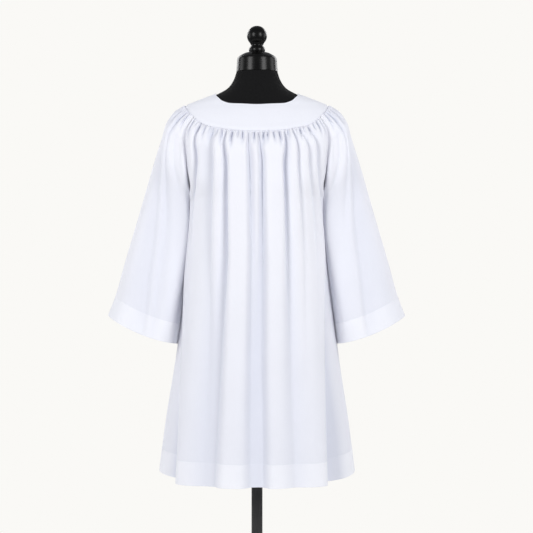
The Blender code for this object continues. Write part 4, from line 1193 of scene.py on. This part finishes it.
class SURPLICE_OT_stage(bpy.types.Operator):
    """Make the floor, the studio light and the camera"""
    bl_idname = "surplice.stage"
    bl_label = "Studio"

    def execute(self, context):
        settings = context.scene.surplice_stage
        scene = context.scene
        scene.view_settings.view_transform = "Standard"
        scene.view_settings.look = "None"

        n = Nodes("Pale floor")
        cloudy = n.noise(n.object_place(), 3.0)
        colour = n.mix(cloudy, plain(settings.floor_colour), plain(settings.floor_colour, 0.985))
        n.set(Base_Color=colour, Roughness=0.9)
        bm = bmesh.new()
        bmesh.ops.create_circle(bm, cap_ends=True, radius=settings.floor_radius, segments=128)
        mesh = bpy.data.meshes.new("floor")
        bm.to_mesh(mesh)
        bm.free()
        mesh.materials.append(n.material)
        floor = bpy.data.objects.new("floor", mesh)
        scene.collection.objects.link(floor)

        world = bpy.data.worlds.new("Studio")
        scene.world = world
        world.use_nodes = True
        tree = world.node_tree
        tree.nodes.clear()
        output = tree.nodes.new("ShaderNodeOutputWorld")
        mix = tree.nodes.new("ShaderNodeMixShader")
        path = tree.nodes.new("ShaderNodeLightPath")
        light = tree.nodes.new("ShaderNodeBackground")
        shown = tree.nodes.new("ShaderNodeBackground")
        light.inputs["Color"].default_value = (0.93, 0.95, 1.0, 1.0)
        light.inputs["Strength"].default_value = settings.ambient
        shown.inputs["Color"].default_value = plain(settings.backdrop_colour)
        tree.links.new(path.outputs["Is Camera Ray"], mix.inputs["Fac"])
        tree.links.new(light.outputs["Background"], mix.inputs[1])
        tree.links.new(shown.outputs["Background"], mix.inputs[2])
        tree.links.new(mix.outputs["Shader"], output.inputs["Surface"])

        pairs = (("softbox", 40.0, 20.0, 3.3, 1.2, 1.7, settings.key_power),
                 ("side", 98.0, 15.0, 3.0, 1.2, 1.7, settings.side_power),
                 ("rear", 145.0, 28.0, 3.4, 1.4, 1.4, settings.rear_power))
        lamps = [(f"{kind}_{side}", sign * azimuth, *rest) for kind, azimuth, *rest in pairs
                 for side, sign in (("left", -1.0), ("right", 1.0))]
        for name, azimuth, elevation, distance, width, height, power in lamps:
            data = bpy.data.lights.new(name, "AREA")
            data.shape = "RECTANGLE"
            data.size, data.size_y = width, height
            data.energy = power
            lamp = bpy.data.objects.new(name, data)
            a, e = math.radians(azimuth), math.radians(elevation)
            lamp.location = (distance * math.sin(a) * math.cos(e),
                             -distance * math.cos(a) * math.cos(e),
                             LIGHT_AIM + distance * math.sin(e))
            lamp.rotation_euler = (math.pi / 2 - e, 0.0, a)
            scene.collection.objects.link(lamp)

        data = bpy.data.cameras.new("camera")
        data.lens = settings.lens
        data.sensor_width = 36.0
        camera = bpy.data.objects.new("camera", data)
        camera.location = CAMERA_PLACE
        camera.rotation_euler = (math.pi / 2, 0.0, 0.0)
        scene.collection.objects.link(camera)
        scene.camera = camera
        return {"FINISHED"}


class SURPLICE_PT_panel(bpy.types.Panel):
    """Sidebar panel that lists the pieces"""
    bl_idname = "SURPLICE_PT_panel"
    bl_label = "Surplice"
    bl_space_type = "VIEW_3D"
    bl_region_type = "UI"
    bl_category = "Surplice"

    def draw(self, context):
        layout = self.layout
        for group in GROUPS:
            settings = getattr(context.scene, group)
            box = layout.box()
            for key in settings.__annotations__:
                box.prop(settings, key)
        for operator in OPERATORS:
            layout.operator(operator.bl_idname)


OPERATORS = (SURPLICE_OT_stage, SURPLICE_OT_form, SURPLICE_OT_yoke, SURPLICE_OT_body,
             SURPLICE_OT_sleeves)
GROUPS = {"surplice_cloth": SURPLICE_PG_cloth, "surplice_form": SURPLICE_PG_form,
          "surplice_stage": SURPLICE_PG_stage}
CLASSES = (*GROUPS.values(), *OPERATORS, SURPLICE_PT_panel)


def register():
    for cls in CLASSES:
        bpy.utils.register_class(cls)
    for key, group in GROUPS.items():
        setattr(bpy.types.Scene, key, PointerProperty(type=group))


def unregister():
    for key in GROUPS:
        delattr(bpy.types.Scene, key)
    for cls in reversed(CLASSES):
        bpy.utils.unregister_class(cls)


def main():
    register()
    bpy.ops.surplice.stage()
    bpy.ops.surplice.form()
    bpy.ops.surplice.yoke()
    bpy.ops.surplice.body()
    bpy.ops.surplice.sleeves()


if __name__ == "__main__":
    main()
